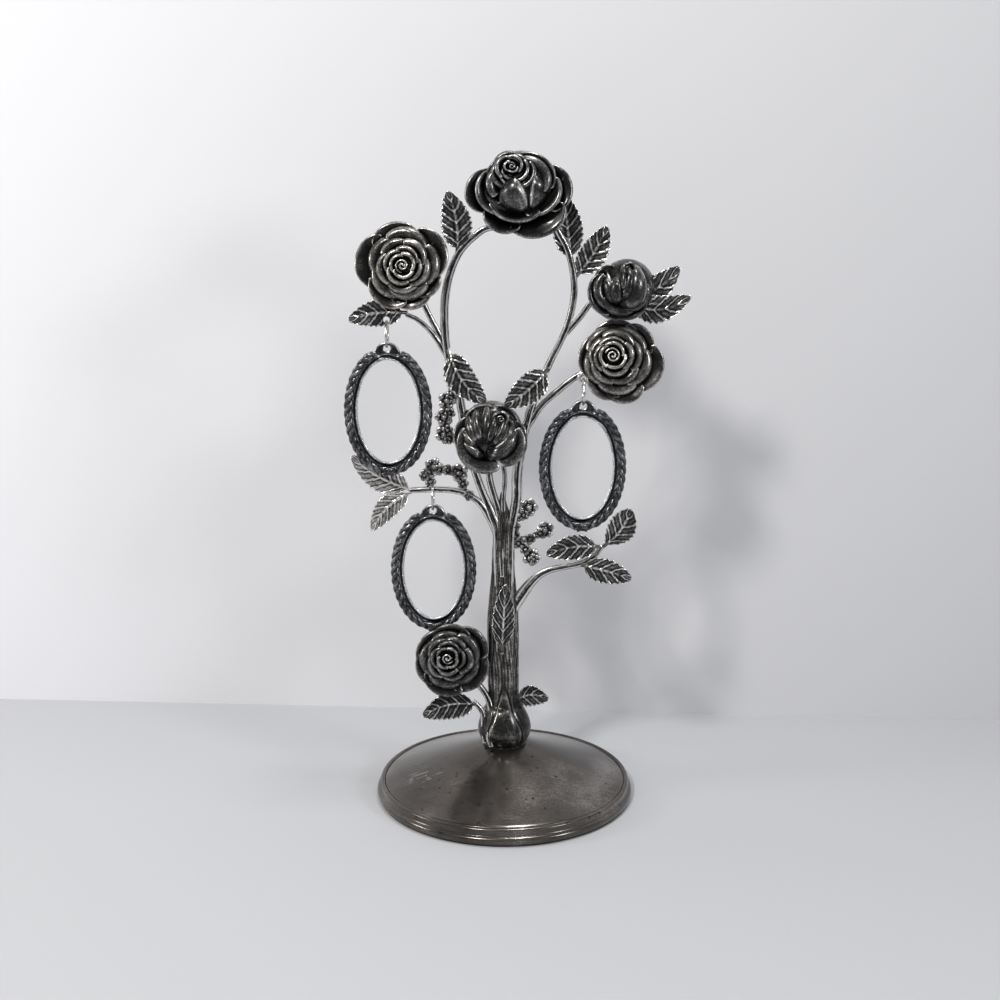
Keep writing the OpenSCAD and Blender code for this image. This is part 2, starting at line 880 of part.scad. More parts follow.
module root_leaf_right() {
    color(pewter)
        leaf(low(4.4, 0, 18.2, 0), 6, 14.5, narrow_leaf_w, rise = 0.8, tip_y = 1.6, sweep = 2.6,
            teeth = 4);
}

// ---------- sub-parts: flower sprays ----------

// Spray: twigs from point to point, flowers on them and berries between the flowers
module spray(twigs, flowers, berries) {
    for (twig = twigs)
        for (i = [0 : len(twig) - 2])
            rod(place(twig[i]), place(twig[i + 1]), twig_d);
    for (i = [0 : len(flowers) - 1])
        flower(place(flowers[i]), 17 * i);
    for (at = berries)
        berry(place(at));
}

module centre_spray() {
    color(pewter)
        spray(
            [[high(-20.6, -0.5, 57.4, 0), high(-24.8, -0.9, 32.8, 0)],
                [high(-24.2, -0.7, 36, 0), high(-16.4, 0.2, 33.5, 0)]],
            [high(-23.3, -1, 50.6, 0), high(-24.6, -1, 43.8, 0), high(-24.6, -1, 36.8, 0)],
            [high(-21.6, -1, 55.4, 0), high(-20.2, -1, 35.4, 0)]);
}

module low_left_spray() {
    left_flower = high(-29, -0.8, 23.4, 0);
    right_flower = high(-18.6, -0.8, 20.8, 0);
    side_berry = high(-33.4, -0.6, 20.2, 0);
    color(pewter)
        spray(
            [[high(-31.5, -0.2, 14.2, 0), left_flower, right_flower, high(-15.4, 0, 11.8, 0)],
                [left_flower, side_berry]],
            [left_flower, right_flower],
            [high(-23.8, -1.1, 22.7, 0), side_berry]);
}

module right_spray() {
    top_flower = low(10, -1, 102.8, 0);
    side_flower = low(16.6, -1, 93.2, 0);
    end_flower = low(11.2, -1, 81.6, 0);
    foot = low(2.4, -0.5, 87.6, 0);
    color(pewter)
        spray(
            [[foot, side_flower],
                [low(5.2, -0.6, 88.7, 0), low(3.4, -0.5, 95.2, 0), top_flower],
                [low(6.4, -0.7, 89.2, 0), end_flower]],
            [top_flower, side_flower, end_flower],
            [low(8.2, -1, 89.4, 0), low(12.4, -1.1, 90.9, 0)]);
}

// ---------- sub-parts: rings and frames ----------

// Split wire ring in the YZ plane, centred on the origin
module jump_ring() {
    split = 0.15;
    color(nickel)
    difference() {
        rotate([0, 90, 0])
            rotate_extrude($fn = 64)
                translate([ring_r, 0])
                    circle(r = wire_r, $fn = 24);
        translate([0, ring_r, 0])
            cube([wire_d * 2, wire_d * 2, split], center = true);
    }
}

// Point on the oval at angle a, moved outward by q, with depth y
function oval_point(a, q, y) =
    let (out = unit([half_h * cos(a), 0, half_w * sin(a)]))
    [half_w * cos(a), y, half_h * sin(a)] + q * out;

// Moulding section at one place round the oval: bead, groove, rope and rebate. The rope
// stops on both sides of the lug, where only the narrow inner band runs on.
function moulding(a, phase) =
    let (
        under_lug = abs(a - 90) < lug_half_turn,
        width = under_lug ? band_w : moulding_w,
        groove = min(groove_w, width * 0.7),
        rope = width - groove,
        crest = under_lug ? lug_t / 2 : frame_t * 0.62,
        back = frame_t * 0.38,
        ridge = under_lug ? 0 : rope_swell
    )
    [
        oval_point(a, 0, -0.5),
        oval_point(a, min(0.9, groove * 0.4), -1.1),
        oval_point(a, groove * 0.8, -0.6),
        for (k = [0 : 3])
            let (
                w = 130 - 50 * k,
                swell = ridge * cos(phase + k * 70)
            )
            oval_point(a,
                groove + rope / 2 + (rope / 2 + swell * 0.5) * cos(w),
                -(crest - 0.4 + swell) * max(sin(w), -0.2)),
        oval_point(a, width - 0.3, back),
        oval_point(a, 1.3, back),
        oval_point(a, 1.3, back - rebate),
        oval_point(a, 0, back - rebate)
    ];

// Half-round lug whose round top stands over the band
module lug() {
    translate([0, 0, band_w * 0.8 - hole_rise])
        rotate([90, 0, 0])
            linear_extrude(lug_t, center = true)
                difference() {
                    circle(r = lug_r);
                    translate([-lug_r - 1, -lug_r * 2])
                        square([lug_r * 2 + 2, lug_r * 2]);
                }
}

// Frame that hangs with the centre of its lug's hole at the origin
module photo_frame() {
    stations = 3 * rope_ridges;
    color(dark_pewter)
    difference() {
        union() {
            translate([0, 0, -frame_drop])
                skin_loop([for (i = [0 : stations - 1])
                    moulding(360 * i / stations, 120 * i)]);
            lug();
        }
        rotate([90, 0, 0])
            cylinder(h = lug_t * 3, r = eye_r, center = true);
    }
}

// Centres of the rings and of the lug holes below them
function ring_centre(eye) = place(eye) - [0, 0, eye_drop + ring_r];
function lug_centre(ring) = ring - [0, 0, ring_r + eye_drop];

left_ring_c = ring_centre(left_eye);
right_ring_c = ring_centre(right_eye);
low_ring_c = place(low_hang) + [0, 0, branch_r + hang_gap + wire_r - ring_r];

module left_ring() { translate(left_ring_c) jump_ring(); }
module right_ring() { translate(right_ring_c) jump_ring(); }
module low_ring() { translate(low_ring_c) jump_ring(); }
module left_frame() { translate(lug_centre(left_ring_c)) photo_frame(); }
module right_frame() { translate(lug_centre(right_ring_c)) photo_frame(); }
module low_frame() { translate(lug_centre(low_ring_c)) photo_frame(); }

base_dish();
base_felt();
base_washer();
base_screw();
trunk();
trunk_leaf();
left_limb();
right_limb();
right_rose_branch();
left_rose_stem();
left_leaf_stem();
right_bud_stem();
centre_stem();
centre_twig();
low_left_branch();
low_right_branch();
low_rose_stem();
root_stem();
top_rose();
left_rose();
right_rose();
right_eye_lug();
right_bud();
centre_rose();
low_rose();
top_left_leaf();
top_right_leaf();
upper_right_leaf();
bud_leaf_upper();
bud_leaf_lower();
hanging_leaf();
centre_left_leaf();
centre_right_leaf();
low_left_leaf_upper();
low_left_leaf_lower();
low_right_leaf_inner();
low_right_leaf_upper();
low_right_leaf_end();
root_leaf_left();
root_leaf_right();
centre_spray();
low_left_spray();
right_spray();
left_ring();
right_ring();
low_ring();
left_frame();
right_frame();
low_frame();
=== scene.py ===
import math

import bpy
import numpy as np
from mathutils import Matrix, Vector
from mathutils.bvhtree import BVHTree


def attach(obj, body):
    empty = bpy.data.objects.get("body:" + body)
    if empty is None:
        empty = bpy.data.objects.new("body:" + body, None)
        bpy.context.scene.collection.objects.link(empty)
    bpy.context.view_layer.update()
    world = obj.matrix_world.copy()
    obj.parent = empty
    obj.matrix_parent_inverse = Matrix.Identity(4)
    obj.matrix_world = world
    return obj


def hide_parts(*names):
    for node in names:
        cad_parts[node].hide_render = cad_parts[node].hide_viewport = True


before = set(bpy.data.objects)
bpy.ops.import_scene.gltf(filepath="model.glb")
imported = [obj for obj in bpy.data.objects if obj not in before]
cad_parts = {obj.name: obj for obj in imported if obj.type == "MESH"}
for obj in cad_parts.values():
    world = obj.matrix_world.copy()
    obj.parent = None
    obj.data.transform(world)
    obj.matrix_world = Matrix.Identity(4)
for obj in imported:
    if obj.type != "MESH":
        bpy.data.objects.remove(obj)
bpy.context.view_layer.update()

# ---------------------------------------------------------------- base dish
# The foot is a shallow cone of sheet metal, spun over a form, with a rim in two
# steps. Its satin plating is grey-brown, specked with fine pits and short wiping
# scratches. The trunk is screwed down on its middle from below.
base_r = 54.4
rim_h = 7.0
seat_z = 22.6815
seat_r = 9.3
dish_r = 50.8
felt_proud = 0.4
felt_bed_r, felt_bed_z = 49.95, 1.2
ledge_r = 47.2
sheet_t = 1.9
boss_r, boss_h = 7.0, 5.0
screw_hole_r = 2.35


class Level:
    """A number that changes over a surface. Sums with it add Math nodes to its tree."""

    def __init__(self, recipe, socket):
        self.recipe, self.socket = recipe, socket

    def sum_with(self, operation, first, second=0.0):
        made = self.recipe.node("ShaderNodeMath", {"operation": operation}, {0: first, 1: second})
        return Level(self.recipe, made.outputs[0])

    def __add__(self, other):
        return self.sum_with("ADD", self, other)

    def __sub__(self, other):
        return self.sum_with("SUBTRACT", self, other)

    def __rsub__(self, other):
        return self.sum_with("SUBTRACT", other, self)

    def __mul__(self, other):
        return self.sum_with("MULTIPLY", self, other)

    def __pow__(self, other):
        return self.sum_with("POWER", self, other)

    def __abs__(self):
        return self.sum_with("ABSOLUTE", self)

    def cosine(self):
        return self.sum_with("COSINE", self)

    __radd__ = __add__
    __rmul__ = __mul__


class Recipe:
    """The node tree of one finish or of one repeated shape."""

    def __init__(self, tree):
        self.tree = tree

    def node(self, kind, settings=None, sockets=None):
        made = self.tree.nodes.new(kind)
        for name, value in (settings or {}).items():
            if name == "stops":
                stops = made.color_ramp.elements
                for place, _ in value[1:-1]:
                    stops.new(place)
                for stop, (place, colour) in zip(stops, value):
                    stop.position = place
                    stop.color = (*colour, 1)
            else:
                setattr(made, name, value)
        for name, value in (sockets or {}).items():
            if isinstance(value, Level):
                value = value.socket
            if isinstance(value, bpy.types.NodeSocket):
                self.tree.links.new(value, made.inputs[name])
            else:
                made.inputs[name].default_value = value
        return made

    def level(self, kind, settings=None, sockets=None, output=0):
        return Level(self, self.node(kind, settings, sockets).outputs[output])


def new_finish(name):
    material = bpy.data.materials.new(name)
    material.use_nodes = True
    material.node_tree.nodes.clear()
    return material, Recipe(material.node_tree)


def noise(recipe, where, scale, detail=2.0):
    return recipe.level("ShaderNodeTexNoise", None, {"Vector": where, "Scale": scale, "Detail": detail})


def close_finish(material, recipe, sockets):
    """Ends a finish in its shader, with the sockets that it sets."""
    shader = recipe.node("ShaderNodeBsdfPrincipled", None, sockets)
    recipe.node("ShaderNodeOutputMaterial", None, {"Surface": shader.outputs[0]})
    return material


def base_plating():
    scratched_at = (-0.034, -0.012, 0.012)
    material, recipe = new_finish("base_plating")
    here = recipe.node("ShaderNodeTexCoord").outputs["Object"]
    cloud = noise(recipe, here, 38.0, 5.0)
    specks = noise(recipe, here, 1500.0)
    along_wipes = recipe.node("ShaderNodeMapping", None,
                              {"Vector": here, "Rotation": (0.0, 0.0, 0.5), "Scale": (150.0, 2600.0, 300.0)})
    wiped = noise(recipe, along_wipes.outputs[0], 1.0, 3.0)
    pits = recipe.node("ShaderNodeTexVoronoi", {"feature": "F1"}, {"Vector": here, "Scale": 210.0})
    pit = recipe.level("ShaderNodeMapRange", None, {0: pits.outputs["Distance"], 1: 0.08, 2: 0.16})
    away = recipe.node("ShaderNodeVectorMath", {"operation": "DISTANCE"}, {0: here, 1: scratched_at})
    patch = recipe.level("ShaderNodeMapRange", None, {0: away.outputs["Value"], 1: 0.011, 2: 0.005})
    crossed = recipe.node("ShaderNodeMapping", None,
                          {"Vector": here, "Rotation": (0.0, 0.0, 1.0), "Scale": (170.0, 1500.0, 200.0)})
    scratch = recipe.level("ShaderNodeMapRange", None,
                           {0: noise(recipe, crossed.outputs[0], 1.0, 1.0), 1: 0.62, 2: 0.68})
    shade = (cloud * 0.60 + specks * 0.25 + wiped * 0.15) * (0.55 + pit * 0.45) + scratch * patch * 0.35
    stops = [(0.26, (0.022, 0.019, 0.016)), (0.42, (0.070, 0.061, 0.053)),
             (0.55, (0.125, 0.111, 0.098)), (0.72, (0.420, 0.390, 0.360))]
    colour = recipe.node("ShaderNodeValToRGB", {"stops": stops}, {0: shade})
    relief = recipe.node("ShaderNodeBump", None,
                         {"Strength": 0.3, "Distance": 0.00006, "Height": specks * 0.6 + wiped * 0.4})
    return close_finish(material, recipe, {
        "Base Color": colour.outputs[0], "Metallic": 0.85, "Roughness": 0.13 + cloud * 0.12 + wiped * 0.05,
        "Coat Weight": 0.25, "Coat Roughness": 0.12, "Normal": relief.outputs[0]})


def skin(rings, round_again=False):
    """Closed solid through rings of points (rings, points, 3), with faces that point outwards."""
    rings = np.asarray(rings, float)
    count, around = rings.shape[:2]
    faces = []
    for i in range(count if round_again else count - 1):
        here, there = i * around, (i + 1) % count * around
        faces += [[here + j, there + j, there + (j + 1) % around, here + (j + 1) % around]
                  for j in range(around)]
    points = rings.reshape(-1, 3)
    if not round_again:
        first, last = len(points), len(points) + 1
        points = np.vstack([points, rings[0].mean(0), rings[-1].mean(0)])
        end = (count - 1) * around
        faces += [[first, j, (j + 1) % around] for j in range(around)]
        faces += [[last, end + (j + 1) % around, end + j] for j in range(around)]
    corner = points[[f[0] for f in faces]]
    cross = np.cross(points[[f[1] for f in faces]] - corner, points[[f[2] for f in faces]] - corner)
    if np.einsum("ij,ij->", corner - points.mean(0), cross) < 0:
        faces = [f[::-1] for f in faces]
    return points, faces


def join(shapes):
    """Several (points, faces) shapes as one."""
    points, faces, start = [], [], 0
    for some, theirs in shapes:
        points.append(some)
        faces += [[start + k for k in f] for f in theirs]
        start += len(some)
    return np.vstack(points), faces


def mesh_piece(name, shape, finish, marks=None):
    """Piece from points in millimetres. Marks are numbers kept at its points for its finish."""
    points, faces = shape
    mesh = bpy.data.meshes.new(name)
    mesh.from_pydata((np.asarray(points) * 0.001).tolist(), [], faces)
    for mark, values in (marks or {}).items():
        mesh.attributes.new(mark, "FLOAT", "POINT").data.foreach_set("value", np.ravel(values))
    mesh.polygons.foreach_set("use_smooth", [True] * len(mesh.polygons))
    mesh.materials.append(finish)
    mesh.update()
    piece = bpy.data.objects.new(name, mesh)
    bpy.context.scene.collection.objects.link(piece)
    return piece


def settle(piece, body, slot, *nodes):
    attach(piece, body)
    if nodes:
        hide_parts(*nodes)


def turned(section, sides):
    """Rings of a lathe-turned shape, one for each direction, from (radius, height) points."""
    angles = np.arange(sides) / sides * 2 * math.pi
    return [[(r * math.cos(a), r * math.sin(a), z) for r, z in section] for a in angles]


def rounded(points, steps):
    """Smooth curve through all the points, columns of any kind."""
    p = np.asarray(points, float)
    p = np.vstack([2 * p[0] - p[1], p, 2 * p[-1] - p[-2]])
    t = np.linspace(0, 1, steps, endpoint=False)[:, None]
    runs = [0.5 * (2 * b + (c - a) * t + (2 * a - 5 * b + 4 * c - d) * t ** 2
                   + (3 * b - a - 3 * c + d) * t ** 3)
            for a, b, c, d in zip(p, p[1:], p[2:], p[3:])]
    return np.vstack(runs + [p[-2:-1]])


top_bead = [(base_r - 2.5 + 1.05 * math.cos(a), rim_h - 0.72 + 0.95 * math.sin(a))
            for a in np.radians(np.arange(165, -30, -15))]
low_bead = [(base_r - 1.7 + 1.7 * math.cos(a), 2.3 + 1.8 * math.sin(a))
            for a in np.radians(np.arange(84, -66, -12))]
dish_slope = [(dish_r + (seat_r - dish_r) * s, rim_h + (seat_z - rim_h) * s - 0.25 * math.sin(math.pi * s))
              for s in np.linspace(1, 0, 26)]
base_section = ([(0.4, seat_z), (seat_r - 0.5, seat_z)] + dish_slope + [(dish_r + 0.3, rim_h - 0.55)]
                + top_bead + [(base_r - 1.35, rim_h - 2.0)] + low_bead
                + [(base_r - 0.7, felt_proud), (felt_bed_r, felt_proud), (felt_bed_r, felt_bed_z),
                   (ledge_r, felt_bed_z), (ledge_r, rim_h - sheet_t), (boss_r + 0.2, seat_z - 2.7),
                   (boss_r, seat_z - boss_h), (screw_hole_r, seat_z - boss_h), (screw_hole_r, seat_z - 0.5)])
settle(mesh_piece("base_spinning", skin(turned(base_section, 240), True), base_plating()),
       "stand", "base_metal", "base_dish")

# ------------------------------------------------- felt pad, washer and screw
# Under the foot, out of sight: a disc of felt glued into the rim, and the steel
# washer and screw that hold the trunk. They keep the shapes of the model.


def felt_cloth():
    material, recipe = new_finish("pad_felt")
    here = recipe.node("ShaderNodeTexCoord").outputs["Object"]
    fibres = noise(recipe, here, 900.0, 6.0)
    pressed = noise(recipe, here, 60.0)
    stops = [(0.35, (0.010, 0.018, 0.013)), (0.65, (0.032, 0.050, 0.038))]
    colour = recipe.node("ShaderNodeValToRGB", {"stops": stops}, {0: fibres * 0.7 + pressed * 0.3})
    nap = recipe.node("ShaderNodeBump", None, {"Strength": 0.5, "Distance": 0.0003, "Height": fibres})
    return close_finish(material, recipe, {
        "Base Color": colour.outputs[0], "Roughness": 0.95, "Sheen Weight": 0.4, "Normal": nap.outputs[0]})


def bright_metal(name, dull, bright):
    material, recipe = new_finish(name)
    here = recipe.node("ShaderNodeTexCoord").outputs["Object"]
    cloud = noise(recipe, here, 350.0, 3.0)
    fine = noise(recipe, here, 3500.0)
    colour = recipe.node("ShaderNodeValToRGB", {"stops": [(0.35, dull), (0.62, bright)]},
                         {0: cloud * 0.7 + fine * 0.3})
    relief = recipe.node("ShaderNodeBump", None, {"Strength": 0.15, "Distance": 0.00003, "Height": fine})
    return close_finish(material, recipe, {
        "Base Color": colour.outputs[0], "Metallic": 1.0, "Roughness": 0.16 + cloud * 0.16,
        "Normal": relief.outputs[0]})


screw_steel = bright_metal("screw_steel", (0.30, 0.29, 0.27), (0.55, 0.54, 0.52))
for node, finish in (("base_felt", felt_cloth()), ("base_washer", screw_steel), ("base_screw", screw_steel)):
    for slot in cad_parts[node].material_slots:
        slot.material = finish

# -------------------------------------------------------------------- trunk
# The trunk is one casting: an onion-like root bulb with a smooth drop-shaped lobe
# at its front, and a fluted stem with bark lines. The metal is blackened pewter:
# the black stays in its hollows and is rubbed off its ridges to warm silver.
fork_z = 119.2815
trunk_h = fork_z - seat_z
flutes = 7
flute_depth = 0.55


def blackened_pewter(name, wear=0.0, tint=(1.0, 0.97, 0.93), grain=0.0):
    """Blackened in the hollows, silver on the ridges, as the mark "worn" says."""
    material, recipe = new_finish(name)
    here = recipe.node("ShaderNodeTexCoord").outputs["Object"]
    worn = recipe.level("ShaderNodeAttribute", {"attribute_name": "worn"}, None, 2)
    cloud = noise(recipe, here, 230.0, 3.0)
    spots = noise(recipe, here, 1500.0, 3.0)
    pits = noise(recipe, here, 4200.0)
    rubbed = worn * 1.3 - 0.15 + wear + (cloud - 0.5) * 0.55 + (spots - 0.5) * 0.62
    relief_height = spots * 0.5 + pits * 0.5
    if grain:
        along = recipe.node("ShaderNodeAttribute", {"attribute_name": "grain"})
        bark = noise(recipe, along.outputs["Vector"], 1.0, 3.0)
        rubbed = rubbed + (bark - 0.5) * grain
        relief_height = relief_height + bark * 1.6
    shades = [(0.0, 0.002), (0.30, 0.008), (0.50, 0.028), (0.66, 0.110), (0.82, 0.360), (1.0, 0.780)]
    stops = [(place, tuple(shade * part for part in tint)) for place, shade in shades]
    colour = recipe.node("ShaderNodeValToRGB", {"stops": stops}, {0: rubbed})
    relief = recipe.node("ShaderNodeBump", None,
                         {"Strength": 0.35, "Distance": 0.00008, "Height": relief_height})
    return close_finish(material, recipe, {
        "Base Color": colour.outputs[0], "Metallic": 0.9, "Roughness": 0.36 - rubbed * 0.14 + cloud * 0.06,
        "Coat Weight": 0.35, "Coat Roughness": 0.10, "Normal": relief.outputs[0]})


warm_grey = (1.03, 0.97, 0.90)
cool_grey = (0.96, 0.99, 1.03)

# Directions over a sphere, evenly spread, that stand in for the rubbing cloth
strokes = 12
golden_turn = 2.39996
stroke = np.arange(strokes) + 0.5
upwards = 1 - 2 * stroke / strokes
sideways = np.sqrt(1 - upwards ** 2)
cloth = np.stack([sideways * np.cos(golden_turn * stroke), sideways * np.sin(golden_turn * stroke),
                  upwards], -1)


def rub(mesh, ridge=0.1, reach=4.0, shelter=0.75, rounds=5, extra=None):
    """Keeps at each point how far a cloth has worn the black: 0 in a hollow, 1 on a ridge.

    In millimetres, ridge is how proud a point is when it is fully rubbed, and reach is how near
    something must be to shelter it. Shelter is how much that spares it.
    """
    count = len(mesh.vertices)
    at = np.empty(count * 3, np.float32)
    mesh.vertices.foreach_get("co", at)
    at = at.reshape(-1, 3).astype(float) * 1000
    out = np.empty(count * 3, np.float32)
    mesh.vertex_normals.foreach_get("vector", out)
    out = out.reshape(-1, 3).astype(float)
    ends = np.empty(len(mesh.edges) * 2, np.int32)
    mesh.edges.foreach_get("vertices", ends)
    first, second = ends.reshape(-1, 2).T
    degree = np.maximum(np.bincount(first, minlength=count) + np.bincount(second, minlength=count), 1)
    calm = at.copy()
    for _ in range(rounds):
        beside = np.stack([np.bincount(first, calm[second, k], count)
                           + np.bincount(second, calm[first, k], count) for k in range(3)], -1)
        calm = (calm + beside / degree[:, None]) / 2
    proud = ((at - calm) * out).sum(1)
    hidden = np.zeros(count)
    if shelter:
        tree = BVHTree.FromPolygons(at.tolist(), [list(p.vertices) for p in mesh.polygons])
        just_off = 0.06
        starts = at + out * just_off
        for way in cloth:
            aims = out + way
            for k in range(count):
                if tree.ray_cast(starts[k], aims[k], reach)[0] is not None:
                    hidden[k] += 1 / len(cloth)
    worn = 0.5 + np.clip(proud / ridge, -1, 1) * 0.45 - shelter * hidden
    if extra is not None:
        worn = worn + extra
    mesh.attributes.new("worn", "FLOAT", "POINT").data.foreach_set("value", np.clip(worn, 0, 1))


def eased(share):
    """Share of a change that starts and ends softly, from 0 to 1."""
    share = min(1, max(0, share))
    return share * share * (3 - 2 * share)


# Stations of the trunk: sideways, height above the seat, width, depth per width, flute depth share
bulb_stations = [(0, 0.0, 17.4, 1, 0), (0, 1.9, 20.0, 1, 0.3), (0, 6.3, 22.6, 0.98, 0.7),
                 (0, 10.8, 21.0, 0.95, 0.9), (-0.3, 15.3, 17.5, 0.92, 1)]
stem_stations = [(-0.3 - 0.4 * math.sin(share * math.pi), 18.6 + 76.0 * share,
                  13.4 - 4.0 * eased((share - 0.45) / 0.38), 0.86, 1.1) for share in np.arange(0, 0.9, 0.125)]
tip_stations = [(-0.3, 92.0, 8.9, 0.86, 1), (-0.3, 96.0, 7.9, 0.84, 0.9), (-0.5, 100.0, 5.6, 0.82, 0.7),
                (-0.8, 104.5, 3.2, 0.8, 0.4), (-1.0, 109.0, 1.2, 0.8, 0.2)]
trunk_stations = rounded(bulb_stations + stem_stations + tip_stations, 12)

# Half width of the smooth lobe at the bulb's front, by height
lobe_line = rounded([(0.0, 5.6), (3.0, 7.0), (6.0, 7.6), (9.0, 6.9), (12.0, 5.2), (15.0, 3.7), (18.0, 2.7),
                     (22.0, 1.7), (27.0, 0.3)], 8)
angle = np.arange(168) / 168 * 2 * math.pi
trunk_rings, trunk_grain, trunk_calm = [], [], []
for x, z, width, deep, flute in trunk_stations:
    up = z / trunk_h
    drift = 0.35 * math.sin(9 * up) + 0.2 * math.sin(23 * up)
    strands = min(1, max(0, (z - 9) / 14))
    fluting = flute_depth * flute * (0.22 + 0.78 * strands)
    r = width / 2 - fluting * (0.5 - 0.5 * np.cos(flutes * angle + math.pi / 2))
    bark = 0.7 * np.sin(17 * angle + 5 * drift) + 0.5 * np.sin(31 * angle - 8 * drift + 2)
    from_front = np.abs((angle - 1.5 * math.pi - 0.02) * width / 2)
    lobe = float(np.interp(z, lobe_line[:, 0], lobe_line[:, 1]))
    dome = np.sqrt(np.clip(1 - (from_front / max(lobe, 0.01)) ** 2, 0, 1))
    gutter = np.exp(-((from_front - lobe - 0.2) / 0.6) ** 2)
    on_bulb = min(1, max(0, (28 - z) / 6)) * min(1, z / 4)
    trunk_calm.append(0 * angle - 0.12 * min(1, max(0, (18 - z) / 6)))
    r = r + (1.0 * dome * min(1, lobe / 2.5) - 0.24 * gutter) * on_bulb
    r = r + 0.10 * bark * strands * np.where(from_front < lobe + 0.8, 1 - on_bulb, 1)
    trunk_rings.append(np.stack([x + r * np.cos(angle), r * deep * np.sin(angle), 0 * angle + seat_z + z],
                                -1))
    trunk_grain.append(np.stack([3 * np.cos(angle), 3 * np.sin(angle), 0 * angle + z * 0.14], -1))
trunk_pewter = blackened_pewter("trunk_pewter", 0.05, warm_grey, 0.4)
trunk = mesh_piece("trunk_casting", skin(trunk_rings), trunk_pewter)
grain = np.vstack([np.vstack(trunk_grain), trunk_grain[0].mean(0), trunk_grain[-1].mean(0)])
trunk.data.attributes.new("grain", "FLOAT_VECTOR", "POINT").data.foreach_set("vector", grain.ravel())
rub(trunk.data, 0.13, 3.0, 0.4, 6, np.append(np.concatenate(trunk_calm), [0, 0]))
settle(trunk, "stand", "tree_pewter", "trunk")

# ---------------------------------------------------------- limbs and branches
# Every limb and twig looks like two thin twigs grown together, with a groove along
# its front and back and fine bark lines. They are cast with the trunk or soldered
# to it, and thin out towards the roses and leaves that they bear.


def shape_recipe(name, numbers):
    """Geometry tree that takes a path or points, with named numbers and a finish."""
    tree = bpy.data.node_groups.new(name, "GeometryNodeTree")
    tree.interface.new_socket("Start", in_out="INPUT", socket_type="NodeSocketGeometry")
    tree.interface.new_socket("Shape", in_out="OUTPUT", socket_type="NodeSocketGeometry")
    for label, value in numbers.items():
        kind = "NodeSocketInt" if isinstance(value, int) else "NodeSocketFloat"
        tree.interface.new_socket(label, in_out="INPUT", socket_type=kind).default_value = value
    tree.interface.new_socket("Finish", in_out="INPUT", socket_type="NodeSocketMaterial")
    recipe = Recipe(tree)
    return recipe, recipe.node("NodeGroupInput")


def close_recipe(recipe, given, shape):
    whole = recipe.node("GeometryNodeRealizeInstances", None, {"Geometry": shape})
    smooth = recipe.node("GeometryNodeSetShadeSmooth", None, {"Geometry": whole.outputs[0]})
    finished = recipe.node("GeometryNodeSetMaterial", None,
                           {"Geometry": smooth.outputs[0], "Material": given.outputs["Finish"]})
    recipe.node("NodeGroupOutput", None, {0: finished.outputs[0]})


def grown(name, start, recipe, values):
    """Plain mesh piece that a geometry tree makes from a path or from points."""
    bpy.context.scene.collection.objects.link(start)
    maker = start.modifiers.new("shape", "NODES")
    maker.node_group = recipe.tree
    for item in recipe.tree.interface.items_tree:
        if item.in_out == "INPUT" and item.name in values:
            maker[item.identifier] = values[item.name]
    bpy.context.view_layer.update()
    mesh = bpy.data.meshes.new_from_object(start.evaluated_get(bpy.context.evaluated_depsgraph_get()))
    mesh.name = name
    start.modifiers.remove(maker)
    bpy.data.objects.remove(start)
    piece = bpy.data.objects.new(name, mesh)
    bpy.context.scene.collection.objects.link(piece)
    return piece


def path(name, points, cyclic=False):
    """Path through points (x, y, z, radius) in millimetres."""
    wire = bpy.data.curves.new(name, "CURVE")
    wire.dimensions = "3D"
    line = wire.splines.new("POLY")
    line.points.add(len(points) - 1)
    for at, (x, y, z, r) in zip(line.points, points):
        at.co = (x * 0.001, y * 0.001, z * 0.001, 1)
        at.radius = r * 0.001
    line.use_cyclic_u = cyclic
    return bpy.data.objects.new(name, wire)


def round_angle(recipe):
    """Angle round a section, from its front, in radians."""
    return recipe.level("GeometryNodeSplineParameter") * (2 * math.pi)


def marked(recipe, shape, name, value, kind="FLOAT"):
    """The shape with a value kept at its points under a name."""
    return recipe.node("GeometryNodeStoreNamedAttribute", {"data_type": kind, "domain": "POINT"},
                       {"Geometry": shape, "Name": name, "Value": value}).outputs[0]


def kept(recipe, name, kind="FLOAT"):
    """What the points keep under a name."""
    return recipe.level("GeometryNodeInputNamedAttribute", {"data_type": kind}, {"Name": name})


def section_of(recipe, sides, radius):
    """Closed section whose radius changes round it."""
    ring = recipe.node("GeometryNodeCurvePrimitiveCircle", None, {"Resolution": sides, "Radius": 1.0})
    there = recipe.node("GeometryNodeInputPosition").outputs[0]
    moved = recipe.node("ShaderNodeVectorMath", {"operation": "SCALE"}, {"Vector": there, "Scale": radius})
    return recipe.node("GeometryNodeSetPosition", None,
                       {"Geometry": marked(recipe, ring.outputs[0], "around", there, "FLOAT_VECTOR"),
                        "Position": moved.outputs[0]}).outputs[0]


def sweep(recipe, given, section, turns_per_metre=0.0):
    """The section carried along the path with its front towards -Y, and marked along it."""
    facing = recipe.node("GeometryNodeSetCurveNormal", {"mode": "FREE"},
                         {"Curve": given.outputs["Start"], "Normal": (0.0, -1.0, 0.0)})
    length = Level(recipe, recipe.node("GeometryNodeSplineParameter").outputs["Length"])
    tilted = recipe.node("GeometryNodeSetCurveTilt", None,
                         {"Curve": facing.outputs[0], "Tilt": length * turns_per_metre * (2 * math.pi)})
    radius = recipe.node("GeometryNodeInputRadius").outputs[0]
    return recipe.node("GeometryNodeCurveToMesh", None,
                       {"Curve": marked(recipe, tilted.outputs[0], "reach", length), "Profile Curve": section,
                        "Scale": radius, "Fill Caps": True}).outputs[0]


